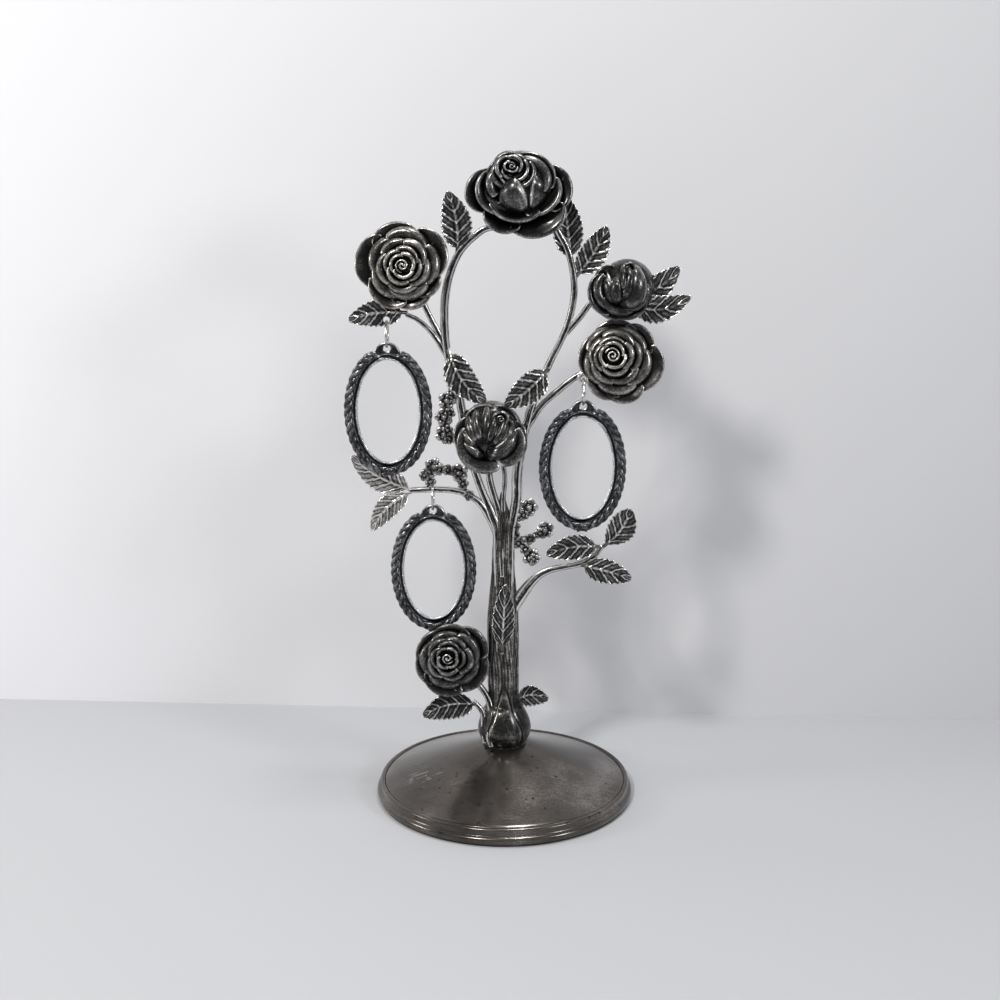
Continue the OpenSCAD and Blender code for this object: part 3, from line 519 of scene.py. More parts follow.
twig, twig_sizes = shape_recipe("two_strand_twig", {"Groove": 0.3, "Bark": 0.05, "Bark height": 0.0001})
twig_turn = round_angle(twig)
twig_radius = (1.0 - abs(twig_turn.cosine()) ** 7.0 * twig_sizes.outputs["Groove"]
               + (twig_turn * 9.0 + 1.0).cosine() * twig_sizes.outputs["Bark"])
swept = sweep(twig, twig_sizes, section_of(twig, 28, twig_radius))
across_grain = twig.node("ShaderNodeVectorMath", {"operation": "MULTIPLY"},
                         {0: kept(twig, "around", "FLOAT_VECTOR"), 1: (2.6, 2.6, 0.0)})
along_grain = twig.node("ShaderNodeCombineXYZ", None, {"Z": kept(twig, "reach") * 260.0})
grain_place = twig.node("ShaderNodeVectorMath", {"operation": "ADD"},
                        {0: across_grain.outputs[0], 1: along_grain.outputs[0]}).outputs[0]
lumps = noise(twig, grain_place, 1.0)
outwards = twig.node("GeometryNodeInputNormal").outputs[0]
push = twig.node("ShaderNodeVectorMath", {"operation": "SCALE"},
                 {"Vector": outwards, "Scale": (lumps - 0.5) * twig_sizes.outputs["Bark height"]})
rough = twig.node("GeometryNodeSetPosition", None, {"Geometry": swept, "Offset": push.outputs[0]})
close_recipe(twig, twig_sizes, marked(twig, rough.outputs[0], "grain", grain_place, "FLOAT_VECTOR"))


def low(x, y, z, r=0.0):
    return (x, y, seat_z + z, r)


def high(x, y, z, r=0.0):
    return (x, y, fork_z + z, r)


twig_pewter = blackened_pewter("twig_pewter", 0.05, (1.0, 0.97, 0.94), 0.5)


def twig_shape(name, points, groove=0.34, bark=0.045, height=0.00022, steps=12):
    return grown(name, path(name, rounded(points, steps)), twig,
                 {"Groove": groove, "Bark": bark, "Bark height": height, "Finish": twig_pewter})


# Middle lines of the limbs and twigs, with their radius at each point
stems = {
    "left_limb": [
        low(-3.0, -2.6, 60, 0.8), low(-3.1, -2.6, 78, 1.4), low(-3.2, -1.2, 92.6, 1.84),
        low(-5.2, 0, 99.6, 1.96), high(-10.2, 0.6, 15.5, 1.73), high(-15, 0.9, 32, 1.73),
        high(-18.7, 0.4, 54, 1.84),
        high(-23.2, 0, 71, 1.65), high(-23.7, 0, 92, 1.73), high(-18.9, 0, 108, 1.5),
        high(-10.2, 0, 117.2, 1.35), high(-4.4, 0, 119.6, 1.28), high(-1.1, 0, 120, 1.05)],
    "right_limb": [
        low(2.5, -2.7, 62, 0.8), low(2.5, -2.5, 80, 1.5), low(2.7, -1.0, 92.6, 1.96), high(4.8, 0, 9, 2.19),
        high(5.2, 0.3, 22, 2.3), high(8.2, 0.6, 38, 1.96), high(12.2, 0.3, 52, 1.58),
        high(18.4, 0, 66.5, 1.43),
        high(24.7, 0, 80, 1.35), high(27.6, 0, 94, 1.35), high(25.6, 0, 108, 1.28), high(21, 0, 117.5, 1.2),
        high(15.8, -0.2, 125.5, 1.2), high(6.5, -0.6, 131.5, 1.2)],
    "right_rose_branch": [
        high(8.6, 0.4, 38.5, 1.35), high(14.8, 0, 48.2, 1.35), high(21.5, 0, 54.4, 1.35),
        high(28.2, 0, 59.8, 1.28), high(37, 0, 64.8, 1.2), high(45.4, 0, 67, 1.2)],
    "left_rose_stem": [
        high(-22.9, 0, 69.5, 1.28), high(-26.3, 0, 77.5, 1.2), high(-31.6, 0, 88, 1.2),
        high(-38.2, 0, 105, 1.2)],
    "left_leaf_stem": [
        high(-22.6, 0, 67.5, 1.15), high(-28.6, -0.2, 77.2, 1.07), high(-34.3, -0.8, 82.8, 1.0),
        high(-39.4, -1.6, 85.4, 0.9)],
    "right_bud_stem": [
        high(24.4, 0, 77.5, 1.19), high(30, 0.3, 84, 1.19), high(35.8, 0.4, 91, 1.19),
        high(45.7, 0.2, 95.1, 1.19)],
    "centre_stem": [
        low(-1.0, -3.5, 74, 0.9), low(-1.3, -2.8, 84, 1.2), low(-1.6, -1.6, 92.6, 1.43),
        low(-2.6, -0.5, 101.6, 1.43), high(-6.2, -0.5, 19, 1.43), high(-6.4, -0.9, 36, 1.38)],
    "centre_twig": [
        low(0.8, -3.0, 78, 0.7), low(0.5, -2.6, 86, 0.9), low(0.2, -1.7, 92.6, 0.97),
        low(-0.6, -0.9, 104.6, 0.97), high(0, -0.7, 20, 0.97), high(-2.6, -0.6, 33, 0.97)],
    "low_left_branch": [
        low(-3.9, -0.4, 72, 1.1), low(-3.7, -0.2, 82, 1.6), low(-2.9, 0, 90.1, 1.82), low(-6.6, 0, 99, 1.62),
        high(-11.3, 0, 8.9, 1.42), high(-18.8, 0, 12.8, 1.35), high(-29.4, 0, 13.6, 1.35),
        high(-39.2, 0, 13.2, 1.2)],
    "low_right_branch": [
        low(4.4, -0.6, 34, 1.2), low(3.4, -0.5, 46, 2.0), low(2.6, -0.2, 56.6, 2.57), low(7.2, 0, 65.2, 2.5),
        low(12.4, 0, 72, 1.96), low(17.8, 0, 75.6, 1.55), low(24.4, 0, 77.2, 1.35), low(31.4, 0, 78.6, 1.2),
        low(36.8, 0, 81.6, 1.08), low(40.2, 0, 86, 0.95)],
    "low_rose_stem": [
        low(-5.6, -8.6, 1.2, 1.1), low(-6.4, -8.0, 5.0, 1.35), low(-5.6, -5.6, 11.6, 1.35),
        low(-6.8, -2.2, 19.6, 1.35), low(-11.6, -1.9, 27, 1.35), low(-21.4, -1.2, 37.6, 1.35)],
    "root_stem": [
        low(-8.4, -5.2, 1.4, 1.0), low(-8.8, -4.4, 6.8, 1.19), low(-9.2, -3.8, 14.4, 1.19),
        low(-13.4, -3.6, 19.6, 1.01)],
}
eye_r = 1.3
eye_outer_r = 2.6
eye_t = 2.0


def pulled(piece):
    """(points, faces) of a piece in millimetres, and the piece is put away."""
    mesh = piece.data
    points = np.array([v.co for v in mesh.vertices]) * 1000
    faces = [list(p.vertices) for p in mesh.polygons]
    bpy.data.objects.remove(piece)
    return points, faces


def eye_shape(at):
    """Flat ring with rounded edges whose hole runs from front to back."""
    section = [(eye_r, 0.5), (eye_r + 0.12, 0.42), (eye_r + 0.35, 0.5), (eye_outer_r - 0.45, 0.5),
               (eye_outer_r - 0.15, 0.42), (eye_outer_r, 0.2), (eye_outer_r, -0.2),
               (eye_outer_r - 0.15, -0.42), (eye_outer_r - 0.45, -0.5), (eye_r + 0.35, -0.5),
               (eye_r + 0.12, -0.42), (eye_r, -0.3)]
    angles = np.arange(40) / 40 * 2 * math.pi
    return skin([[(at[0] + r * math.cos(a), at[1] - y * eye_t, at[2] + r * math.sin(a)) for r, y in section]
                 for a in angles], True)


for name, points in stems.items():
    stem = twig_shape(name + "_twig", points)
    if name == "left_limb":
        link = twig_shape("eye_link", [high(1.6, -0.2, 121.6, 1.2), high(4.6, -0.6, 129.6, 1.2)])
        whole = join([pulled(stem), pulled(link), eye_shape(high(0.8, 0, 120))])
        stem = mesh_piece(name + "_twig", whole, twig_pewter)
    rub(stem.data, 0.08, 3.0, 0.35, 4)
    settle(stem, "stand", "tree_pewter", name)

# -------------------------------------------------------------------- roses
# Five roses and a bud, each cast with thick petals in whorls that lap over each other
# round a spiral heart. They are soldered on the ends of their branches. The black
# stays deep between the petals, and the domes and lips are polished bright.
rose_depth = 0.38
petal_t = 0.75
solder_lap = 0.7
lip_wear = 0.12
calyx_wear = -0.12

# How a petal runs from the heart to its lip: (share of its reach, share of its height)
petal_lines = {
    "dish": [(0.30, 0.44), (0.50, 0.60), (0.68, 0.74), (0.83, 0.86), (0.93, 0.97), (0.985, 1.0), (1.01, 0.92),
             (1.0, 0.76)],
    "roll": [(0.50, 0.30), (0.57, 0.62), (0.67, 0.86), (0.79, 0.98), (0.90, 1.0), (0.97, 0.92), (1.005, 0.76),
             (1.0, 0.56)],
}


def sheet_faces(rows, across, round_again=False):
    """Faces of a sheet whose points lie in rows."""
    return [[i * across + j, i * across + (j + 1) % across, (i + 1) * across + (j + 1) % across,
             (i + 1) * across + j]
            for i in range(rows - 1) for j in range(across if round_again else across - 1)]


def petal(line, at, half_width, reach, height, notch, power, lap, shift, squash, rows=17, across=21):
    """Sheet of one petal that runs to its lip, with its sides at at - half_width and at + half_width."""
    u = np.linspace(-1, 1, across)[None, :]
    v = np.linspace(0, 1, rows)[:, None] ** 0.85
    edge = np.abs(u) ** power
    stations = rounded(petal_lines[line], 10)
    share = np.linspace(0, 1, len(stations))
    wave = 0.015 * reach * np.sin(5 * u + at) * v
    widening = 0.70 + 0.30 * np.sin(math.pi * np.clip(v * 0.9, 0, 1))
    r = np.interp(v, share, stations[:, 0]) * reach * (1 + lap * u) * (1 - notch * edge)
    h = np.interp(v, share, stations[:, 1]) * height * (1 - 0.10 * edge * v) + wave
    a = math.radians(at) + math.radians(half_width) * u * widening
    points = np.stack([r * np.cos(a) + shift[0], -h, r * np.sin(a) * squash + shift[1]], -1).reshape(-1, 3)
    lip = np.clip((v - 0.74) / 0.1, 0, 1) * np.clip((1 - v) / 0.1, 0, 1) + 0 * u
    return points, sheet_faces(rows, across), lip.ravel()


def laid_petal(foot, at, length, width, bend, lift, dome, rows=21, across=17):
    """Sheet of a petal that lies on a dome like a pillow, from its foot towards at, and bends sideways."""
    x0, z0, dome_r, dome_h = dome
    t = np.linspace(0.01, 1, rows)[:, None]
    u = np.linspace(-1, 1, across)[None, :]
    heading = math.radians(at) + math.radians(bend) * (t - 0.5)
    half = width / 2 * np.sin(math.pi * (0.004 + 0.936 * t) ** 0.85) ** 0.7
    along = length * t
    x = foot[0] + along * np.cos(heading) - u * half * np.sin(heading)
    z = foot[1] + along * np.sin(heading) + u * half * np.cos(heading)
    far = np.clip(((x - x0) ** 2 + (z - z0) ** 2) / dome_r ** 2, 0, 0.97)
    ends = np.clip(4 * (1.02 - t), 0, 1) ** 0.6 * np.clip(0.1 + 4 * t, 0, 1) ** 0.7
    bulge = (1 - np.abs(u) ** 3) * ends
    rim = np.exp(-((np.abs(u) - 0.80) / 0.10) ** 2)
    tuck = np.clip((np.abs(u) - 0.88) / 0.12, 0, 1)
    h = dome_h * np.sqrt(1 - far) + lift * bulge + 0.30 * rim - 1.2 * tuck
    lip = np.clip((np.abs(u) - 0.62) / 0.15, 0, 1) * (np.abs(u) < 0.9) - 5 * np.clip((0.2 - t) / 0.12, 0, 1)
    return np.stack([x, -h, z], -1).reshape(-1, 3), sheet_faces(rows, across), lip.ravel()


def dome_sheet(dome, rows=9, around=40):
    """Sheet of the dome that laid petals rest on."""
    x0, z0, dome_r, dome_h = dome
    tilt = np.linspace(0.03, 1, rows)[:, None] * math.pi / 2 * 0.97
    a = np.arange(around)[None, :] / around * 2 * math.pi
    points = np.stack([x0 + dome_r * np.sin(tilt) * np.cos(a), -dome_h * np.cos(tilt) + 0 * a,
                       z0 + dome_r * np.sin(tilt) * np.sin(a)], -1).reshape(-1, 3)
    return points, sheet_faces(rows, around, True), np.full(rows * around, -2.0)


def heart(radius, height, depth, turns, shift, start):
    """Spiral sheet in the middle of a rose."""
    along, rows = 60, 5
    t = np.linspace(0, 1, along)[None, :]
    v = np.linspace(0, 1, rows)[:, None]
    a = math.radians(start) + t * turns * 2 * math.pi
    r = radius * (0.10 + 0.90 * t) * (1 - 0.10 * v)
    h = height - depth * (1 - v) - 0.25 * depth * t
    points = np.stack([r * np.cos(a) + shift[0] + 0 * h, -h, r * np.sin(a) + shift[1]], -1).reshape(-1, 3)
    lip = np.broadcast_to(v > 0.8, (rows, along)).ravel() * 1.6 - 2.2
    return points, sheet_faces(rows, along), lip


def worked(piece, kind, **settings):
    """Plain mesh of a piece after one modifier, which is taken off again."""
    step = piece.modifiers.new("step", kind)
    for name, value in settings.items():
        setattr(step, name, value)
    bpy.context.view_layer.update()
    mesh = bpy.data.meshes.new_from_object(piece.evaluated_get(bpy.context.evaluated_depsgraph_get()))
    piece.modifiers.remove(step)
    return mesh


# The back of a rose: (share of its radius, share of its depth)
back_section = [(0.02, 0.0), (0.16, 0.0), (0.30, 0.02), (0.56, 0.10), (0.66, 0.24), (0.50, 0.36),
                (0.02, 0.42)]


def rose(name, node, at, sunk, d, whorls, spiral, nod, look=0.0, drift=(0, 0), squash=1.0, finish=None,
         dome=None, laid=()):
    """Rose from whorls (line, angles, half width, reach, height, notch, power, lap, drift share).

    An angle may bring a half width and a reach of its own. The spiral is the heart (radius, height,
    depth, turns, start). Petals in laid rest on the dome (x, z, radius, height).
    """
    radius, depth = d / 2, d * rose_depth
    sheets = [dome_sheet(dome)] + [laid_petal(*sizes, dome) for sizes in laid] if dome else []
    for line, angles, half_width, reach, height, notch, power, lap, share in whorls:
        shift = (drift[0] * share, drift[1] * share)
        flat = squash if share < 0.5 else 1 - (1 - squash) * 0.5
        for angle in angles:
            angle, width, far = angle if isinstance(angle, tuple) else (angle, half_width, reach)
            far = far * (1 + 0.03 * math.sin(3 * angle)) * radius
            tall = height * (1 + 0.04 * math.cos(5 * angle)) * depth
            sheets.append(petal(line, angle, width, far, tall, notch, power, lap, shift, flat))
    heart_r, heart_h, heart_depth, turns, start = spiral
    sheets.append(heart(heart_r * radius, heart_h * depth, heart_depth * depth, turns, drift, start))
    body = mesh_piece(name, join([sheet[:2] for sheet in sheets]), finish,
                      {"lip": np.concatenate([sheet[2] for sheet in sheets])})
    body.data = worked(body, "SOLIDIFY", thickness=petal_t * 0.001, offset=0)
    lip_mark = np.zeros(len(body.data.vertices))
    body.data.attributes["lip"].data.foreach_get("value", lip_mark)
    back = np.array(turned([(r * radius, h * depth) for r, h in rounded(back_section, 4)], 48))
    calyx = skin(np.stack([back[..., 0], -back[..., 2], back[..., 1] * squash], -1), True)
    points, faces = join([pulled(body), calyx])
    tip, side = math.radians(nod), math.radians(look)
    x, y, z = points.T
    y, z = y * math.cos(tip) - z * math.sin(tip), y * math.sin(tip) + z * math.cos(tip)
    x, y = x * math.cos(side) - y * math.sin(side), x * math.sin(side) + y * math.cos(side)
    points = np.stack([x + at[0], y + at[1] - sunk + solder_lap, z + at[2]], -1)
    piece = mesh_piece(name, (points, faces), finish)
    rub(piece.data, 0.30, 2.4, 0.40, 4,
        np.concatenate([lip_wear * lip_mark, np.full(len(calyx[0]), calyx_wear)]))
    piece.data = worked(piece, "SUBSURF", levels=1, render_levels=1)
    settle(piece, "stand", "rose_pewter", node)


dark_rose = blackened_pewter("dark_rose_pewter", -0.12, (1.0, 0.99, 0.96))
brown_rose = blackened_pewter("low_rose_pewter", -0.06, (1.0, 0.97, 0.93))
pale_rose = blackened_pewter("pale_rose_pewter", 0.0, warm_grey)

rose("top_rose_head", "top_rose", high(5.6, 0, 131.2), 1.2, 41.5, [
    ("dish", [(172, 40, 0.98), (80, 60, 0.84), (12, 44, 1.02), (-58, 46, 1.0), (-122, 34, 0.94)],
     44, 1.0, 0.46, 0.20, 2.6, 0.03, 0.0),
    ("dish", [(-166, 46, 0.80), (-98, 46, 0.76), (-30, 46, 0.84), (40, 46, 0.76), (112, 46, 0.66)],
     50, 0.76, 0.66, 0.10, 2.4, 0.05, 0.28),
    ("roll", [(-152, 44, 0.68), (-28, 54, 0.72)], 50, 0.66, 0.56, 0.10, 2.2, 0.05, 0.34),
    ("roll", [(30, 50, 0.66), (100, 50, 0.56), (165, 50, 0.60)], 50, 0.66, 0.78, 0.10, 2.2, 0.05, 0.34),
    ("roll", [(-165, 46, 0.42), (-112, 46, 0.33), (-24, 56, 0.46), (48, 46, 0.36), (110, 46, 0.42)],
     46, 0.40, 0.80, 0.12, 2.0, 0.07, 0.84),
    ("roll", [(-126, 50, 0.25), (-28, 64, 0.34), (80, 50, 0.22), (166, 60, 0.31)],
     56, 0.28, 0.87, 0.12, 2.0, 0.07, 0.94),
    ("roll", [(-70, 60, 0.14), (36, 80, 0.22), (165, 60, 0.15)], 68, 0.17, 0.92, 0.08, 2.0, 0.08, 1.0),
], (0.08, 0.93, 0.2, 1.3, 40), -10, 0, (-3.1, 9.6), 0.84, finish=dark_rose, dome=(0.6, 4.2, 13.2, 12.6),
     laid=[((2.4, -10.4), 126, 17, 12.5, -30, 3.4), ((4.6, -9.4), 62, 16.5, 10.5, 40, 3.0),
           ((8.4, -1.0), 92, 12, 5.0, 30, 1.6)])

rose("left_rose_head", "left_rose", high(-39.4, 0, 104.6), 1.2, 35.2, [
    ("dish", [(106, 44, 0.97), (170, 44, 1.04), (-122, 38, 1.03), (-76, 34, 1.02), (-38, 28, 0.95),
              (24, 44, 1.02)],
     40, 1.0, 0.46, 0.16, 2.4, 0.03, 0.0),
    ("roll", [150, 222, -78, -4, 78], 44, 0.80, 0.62, 0.12, 2.2, 0.05, 0.2),
    ("roll", [110, 190, 262, 334, 44], 44, 0.62, 0.76, 0.12, 2.0, 0.06, 0.5),
    ("roll", [60, 150, 240, 330], 52, 0.45, 0.88, 0.12, 2.0, 0.07, 0.8),
    ("roll", [30, 150, 270], 66, 0.30, 0.97, 0.10, 2.0, 0.08, 1.0),
], (0.17, 1.02, 0.2, 1.7, 10), -6, -4, (0.6, -0.4), finish=pale_rose)

rose("right_rose_head", "right_rose", high(45.2, 0, 66.6), 1.2, 33.2, [
    ("dish", [(165, 48, 0.98), (95, 44, 0.95), (46, 34, 1.0), (-16, 42, 1.06), (-78, 34, 1.05),
              (-122, 36, 1.0)],
     38, 1.0, 0.46, 0.16, 2.4, 0.03, 0.0),
    ("roll", [190, 120, 48, -24, -96], 44, 0.82, 0.60, 0.10, 2.2, 0.05, 0.2),
    ("roll", [150, 222, -66, 6, 78], 44, 0.66, 0.74, 0.10, 2.2, 0.06, 0.5),
    ("roll", [90, 180, 270, 0], 52, 0.49, 0.86, 0.10, 2.2, 0.07, 0.8),
    ("roll", [60, 180, 300], 66, 0.34, 0.96, 0.08, 2.2, 0.08, 1.0),
], (0.20, 1.02, 0.22, 1.9, 200), -8, 0, (-2.8, 2.2), finish=pale_rose)

rose("right_bud_head", "right_bud", high(45.7, 0, 95.1), 1.19, 25.5, [
    ("dish", [(196, 50, 1.04), (-120, 46, 1.0), (-62, 42, 0.96), (140, 34, 0.9)],
     40, 1.0, 0.56, 0.14, 2.4, 0.03, 0.0),
    ("roll", [(-168, 46, 0.92), (-104, 46, 0.86), (-40, 46, 0.90)], 50, 0.9, 0.74, 0.10, 2.2, 0.05, 0.1),
    ("roll", [-90, 30, 150], 66, 0.20, 0.84, 0.08, 2.0, 0.08, 1.0),
], (0.10, 0.87, 0.2, 1.5, 30), -8, 0, (2.8, 7.6), finish=dark_rose, dome=(2.6, 0.9, 10.9, 8.8),
     laid=[((-1.6, -7.4), 126, 16, 8.0, -34, 2.4), ((-1.2, -7.4), 36, 18, 9.5, 66, 2.2),
           ((-1.4, -7.0), 100, 11.5, 5.6, -16, 3.0), ((-0.4, -5.4), 66, 15, 4.6, 22, 2.6),
           ((0.4, -2.0), 88, 11, 3.2, 0, 2.6)])

rose("centre_rose_head", "centre_rose", high(-5.6, 0, 35.4), 2.07, 29.0, [
    ("dish", [(168, 40, 0.98), (112, 36, 0.96), (56, 40, 0.98), (0, 36, 0.98)],
     42, 1.0, 0.50, 0.14, 2.4, 0.03, 0.0),
    ("roll", [(-138, 66, 1.0), (-24, 46, 1.02)], 44, 1.0, 0.60, 0.14, 2.2, 0.03, 0.0),
    ("roll", [-100, 20, 140], 66, 0.24, 0.88, 0.08, 2.0, 0.07, 1.0),
], (0.13, 0.92, 0.2, 1.6, 70), -8, 0, (4.0, 7.8), finish=brown_rose, dome=(0.2, 2.4, 12.6, 9.4),
     laid=[((-5.0, -3.0), 152, 10.5, 5.0, -36, 2.4), ((-0.8, -3.8), 16, 14.5, 5.0, 70, 2.4),
           ((-4.0, -2.4), 126, 15, 4.2, -26, 1.9), ((-1.0, -2.6), 42, 14.5, 4.2, 40, 1.9),
           ((-3.4, -2.2), 106, 16, 3.8, -12, 2.4), ((-1.8, -2.2), 66, 12.5, 3.4, 16, 2.4),
           ((-2.6, -2.0), 86, 15, 3.6, 0, 1.5),
           ((-2.6, -6.4), 172, 12.5, 7.6, -46, 3.4), ((-1.6, -4.6), -4, 14.5, 8.0, 74, 3.2)])

rose("low_rose_head", "low_rose", low(-22, 0, 38.2), 1.95, 30.6, [
    ("dish", [(146, 42, 1.02), (88, 40, 0.97), (38, 36, 1.04), (-36, 50, 1.05), (-112, 42, 1.02),
              (196, 36, 1.0)],
     38, 1.0, 0.50, 0.12, 2.4, 0.03, 0.0),
    ("roll", [170, 100, 30, -42, -115], 44, 0.82, 0.66, 0.12, 2.0, 0.05, 0.25),
    ("roll", [130, 205, -80, -10, 60], 44, 0.65, 0.78, 0.14, 1.8, 0.06, 0.5),
    ("roll", [80, 170, 260, 350], 52, 0.48, 0.88, 0.16, 1.8, 0.07, 0.8),
    ("roll", [40, 130, 220, 310], 54, 0.32, 0.97, 0.12, 1.8, 0.08, 1.0),
], (0.17, 1.02, 0.22, 1.6, 120), -6, 0, (-1.6, 2), finish=brown_rose)

# The small eye beside the right rose is soldered to the back of its petals
lug_link = twig_shape("right_eye_link", [high(31.5, -4.2, 62.4, 1.1), high(34.5, -2.8, 66, 1.1)], 0.1, 0.0)
right_lug = mesh_piece("right_eye_ring", join([pulled(lug_link), eye_shape(high(31.5, -4.2, 60.4))]),
                       twig_pewter)
rub(right_lug.data, 0.09, 3.0, 0.4, 4)
settle(right_lug, "stand", "rose_pewter", "right_eye_lug")

# ------------------------------------------------------------------- leaves
# Serrated rose leaves, cast thin, with a raised midrib and a side vein to each tooth.
# The field between the veins is stippled and stays black; veins and edges are silver.
leaf_tooth = 0.05


def leaf_shape(foot, angle, length, width, rise=1.5, tip_y=0.0, sweep=0.0, cup=0.25, veins=6, belly=0.74):
    """Closed leaf from its foot, turned by angle about the viewing direction, and its bright marks."""
    rings, marks = [], []
    across = np.linspace(-1, 1, 35)
    side = np.abs(across)
    for t in np.linspace(0, 1, veins * 16 + 1):
        grown_share = min(max(0.0, (t - 0.12) / 0.88), 0.99)
        outline = math.sin(math.pi * grown_share ** belly) ** 0.62
        tooth = t * veins * 2 % 1
        saw = -1 + 2 * (tooth / 0.74) ** 1.3 if tooth < 0.74 else 1 - 2 * (tooth - 0.74) / 0.26
        half = max(0.85 * (1 - 0.6 * t), width / 2 * outline * (0.93 + leaf_tooth * saw))
        step = (t * veins - 0.02 - 1.2 * side ** 1.1 + 0.5) % 1 - 0.5
        vein = np.exp(-(step * length / veins / 0.62) ** 2) * (1 - 0.35 * side) * min(1, 4 * outline)
        rib = np.exp(-(across * half / 0.70) ** 2) * (1 - 0.5 * t)
        rim = np.clip((side - 0.88) / 0.12, 0, 1) * min(1, 3 * outline)
        pillow = np.sin(math.pi * np.abs(step)) ** 2 * (1 - side ** 4) * min(1, 2 * outline)
        y = -rise * math.sin(math.pi * t ** 0.8) - cup * half * side ** 1.3
        front = y - 0.34 * vein - 0.52 * rib - 0.16 * pillow - 0.14 * rim
        back = y + 1.1 * (1.5 - 0.9 * side)
        x = 0 * across + t * length
        z = sweep * math.sin(math.pi * t) + across * half
        rings.append(np.vstack([np.stack([x, front, z], -1), np.stack([x, back, z], -1)[::-1]]))
        marks += [0.10 * vein + 0.08 * rib + 0.06 * rim + 0.06, 0 * across]
    points, faces = skin(rings)
    x, y, z = points.T
    lean, turn = math.atan2(tip_y, length), math.radians(angle)
    x, y = x * math.cos(lean) + y * math.sin(lean), -x * math.sin(lean) + y * math.cos(lean)
    x, z = x * math.cos(turn) - z * math.sin(turn), x * math.sin(turn) + z * math.cos(turn)
    points = np.stack([x + foot[0], y + foot[1], z + foot[2]], -1)
    return (points, faces), np.append(np.concatenate(marks), [0, 0])


leaf_pewter = blackened_pewter("leaf_pewter", 0.0, (1.0, 0.97, 0.94))
bright_leaf_pewter = blackened_pewter("bright_leaf_pewter", 0.24, (1.0, 0.96, 0.92))
leaf_finishes = {"trunk_leaf": brown_rose, "low_left_leaf_upper": bright_leaf_pewter,
                 "low_left_leaf_lower": bright_leaf_pewter}
ring_hole = (-46.8, 202.88)
leaves = {
    "trunk_leaf": (low(-1.2, -6.3, 41.2), 87, 30, 10, 0.6, -0.7, 0, -0.3),
    "top_left_leaf": (high(-18.8, 0, 108.6), 98, 25, 13, 0.8, 0.5, -1.6),
    "top_right_leaf": (high(26, 0, 105), 97, 28, 13, -0.6, -2.6, -0.4),
    "upper_right_leaf": (high(27.6, 0, 99.5), 58, 24, 12, 1, 0.6, -1),
    "bud_leaf_upper": (high(45, 0.6, 94.5), 21, 26, 12, 0.2, 1.5, -4.5, 0.25, 5, 0.9),
    "bud_leaf_lower": (high(45, 0.6, 93.5), -3, 29, 12, 0.5, 2.4, -5.5, 0.25, 6, 0.9),
    "hanging_leaf": (high(-38.4, -1.4, 86), -174, 24, 11.7, 2.4, 3.4, -1.6, 0.05),
    "centre_left_leaf": (high(-22.6, -0.3, 72), -56, 27, 13, 2.8, 3.2, -2.4),
    "centre_right_leaf": (high(17.8, -0.3, 64), -139, 24, 13, 2.8, 4, 0.8),
    "low_left_leaf_upper": (high(-36.8, 0.2, 13), 151, 29.5, 12.35, -0.4, -0.6, 2, 0.12),
    "low_left_leaf_lower": (high(-37.6, -0.1, 13), -136, 24, 10, 0.8, 1, -2.5),
    "low_right_leaf_inner": (low(40.2, 0, 85.9), -173, 23.5, 11.7, 1, 1.2, -1.8, 0.25, 5),
    "low_right_leaf_upper": (low(40, 0, 85.4), 54, 20.5, 12.6, 0.5, 1.0, -1.6, 0.08, 5, 1.1),
    "low_right_leaf_end": (low(30.6, 0, 78.4), -15, 23, 11.4, 1.4, 1.6, 0.8, 0.25, 5),
    "root_leaf_left": (low(-10.6, -3.4, 17.9), -170, 24.5, 13, 1.4, 2, -3),
    "root_leaf_right": (low(4.4, 0, 18.2), 6, 14.5, 10, 0.8, 1.6, 2.6, 0.25, 4),
}
for name, sizes in leaves.items():
    blade, marks = leaf_shape(*sizes)
    leaf = mesh_piece(name + "_blade", blade, leaf_finishes.get(name, leaf_pewter))
    rub(leaf.data, 0.14, 2.0, 0.2, 6, marks)
    if name == "hanging_leaf":
        round_hole = [(ring_hole[0] + eye_r * math.cos(a), ring_hole[1] + eye_r * math.sin(a))
                      for a in np.arange(32) / 32 * 2 * math.pi]
        drill = mesh_piece("drill", skin([[(x, y, z) for x, z in round_hole] for y in (-14, 6)]), leaf_pewter)
        leaf.data = worked(leaf, "BOOLEAN", operation="DIFFERENCE", object=drill, solver="EXACT")
        bpy.data.objects.remove(drill)
    settle(leaf, "stand", "leaf_pewter", name)

# ------------------------------------------------------------ flower sprays
# Thin twigs with five-petal blossoms and berries, cast as one and soldered in the forks.
# The petals are small domes, rubbed bright, round a raised eye.
blossom_sizes = {"Petals": 5, "Petal radius": 0.0018, "Thickness": 0.0017}
berry_sizes = {"Berry radius": 0.00105}
blossom, blossom_given = shape_recipe("blossom_row", blossom_sizes)
petal_size = Level(blossom, blossom_given.outputs["Petal radius"])
ball = blossom.node("GeometryNodeMeshUVSphere", None, {"Segments": 12, "Rings": 8, "Radius": petal_size})
flat = blossom.node("ShaderNodeCombineXYZ", None,
                    {"X": 0.92, "Y": 1.0, "Z": Level(blossom, blossom_given.outputs["Thickness"]) * 400.0})
dome = blossom.node("GeometryNodeTransform", None, {"Geometry": ball.outputs[0], "Scale": flat.outputs[0]})
corners = blossom.node("GeometryNodeMeshCircle", None,
                       {"Vertices": blossom_given.outputs["Petals"], "Radius": petal_size * 1.38})
place = blossom.node("GeometryNodeInputPosition")
outward = blossom.node("FunctionNodeAlignRotationToVector", {"axis": "X"}, {"Vector": place.outputs[0]})
tilt = blossom.node("FunctionNodeRotateRotation", {"rotation_space": "LOCAL"},
                    {"Rotation": outward.outputs[0], "Rotate By": (0.0, -0.35, 0.0)})
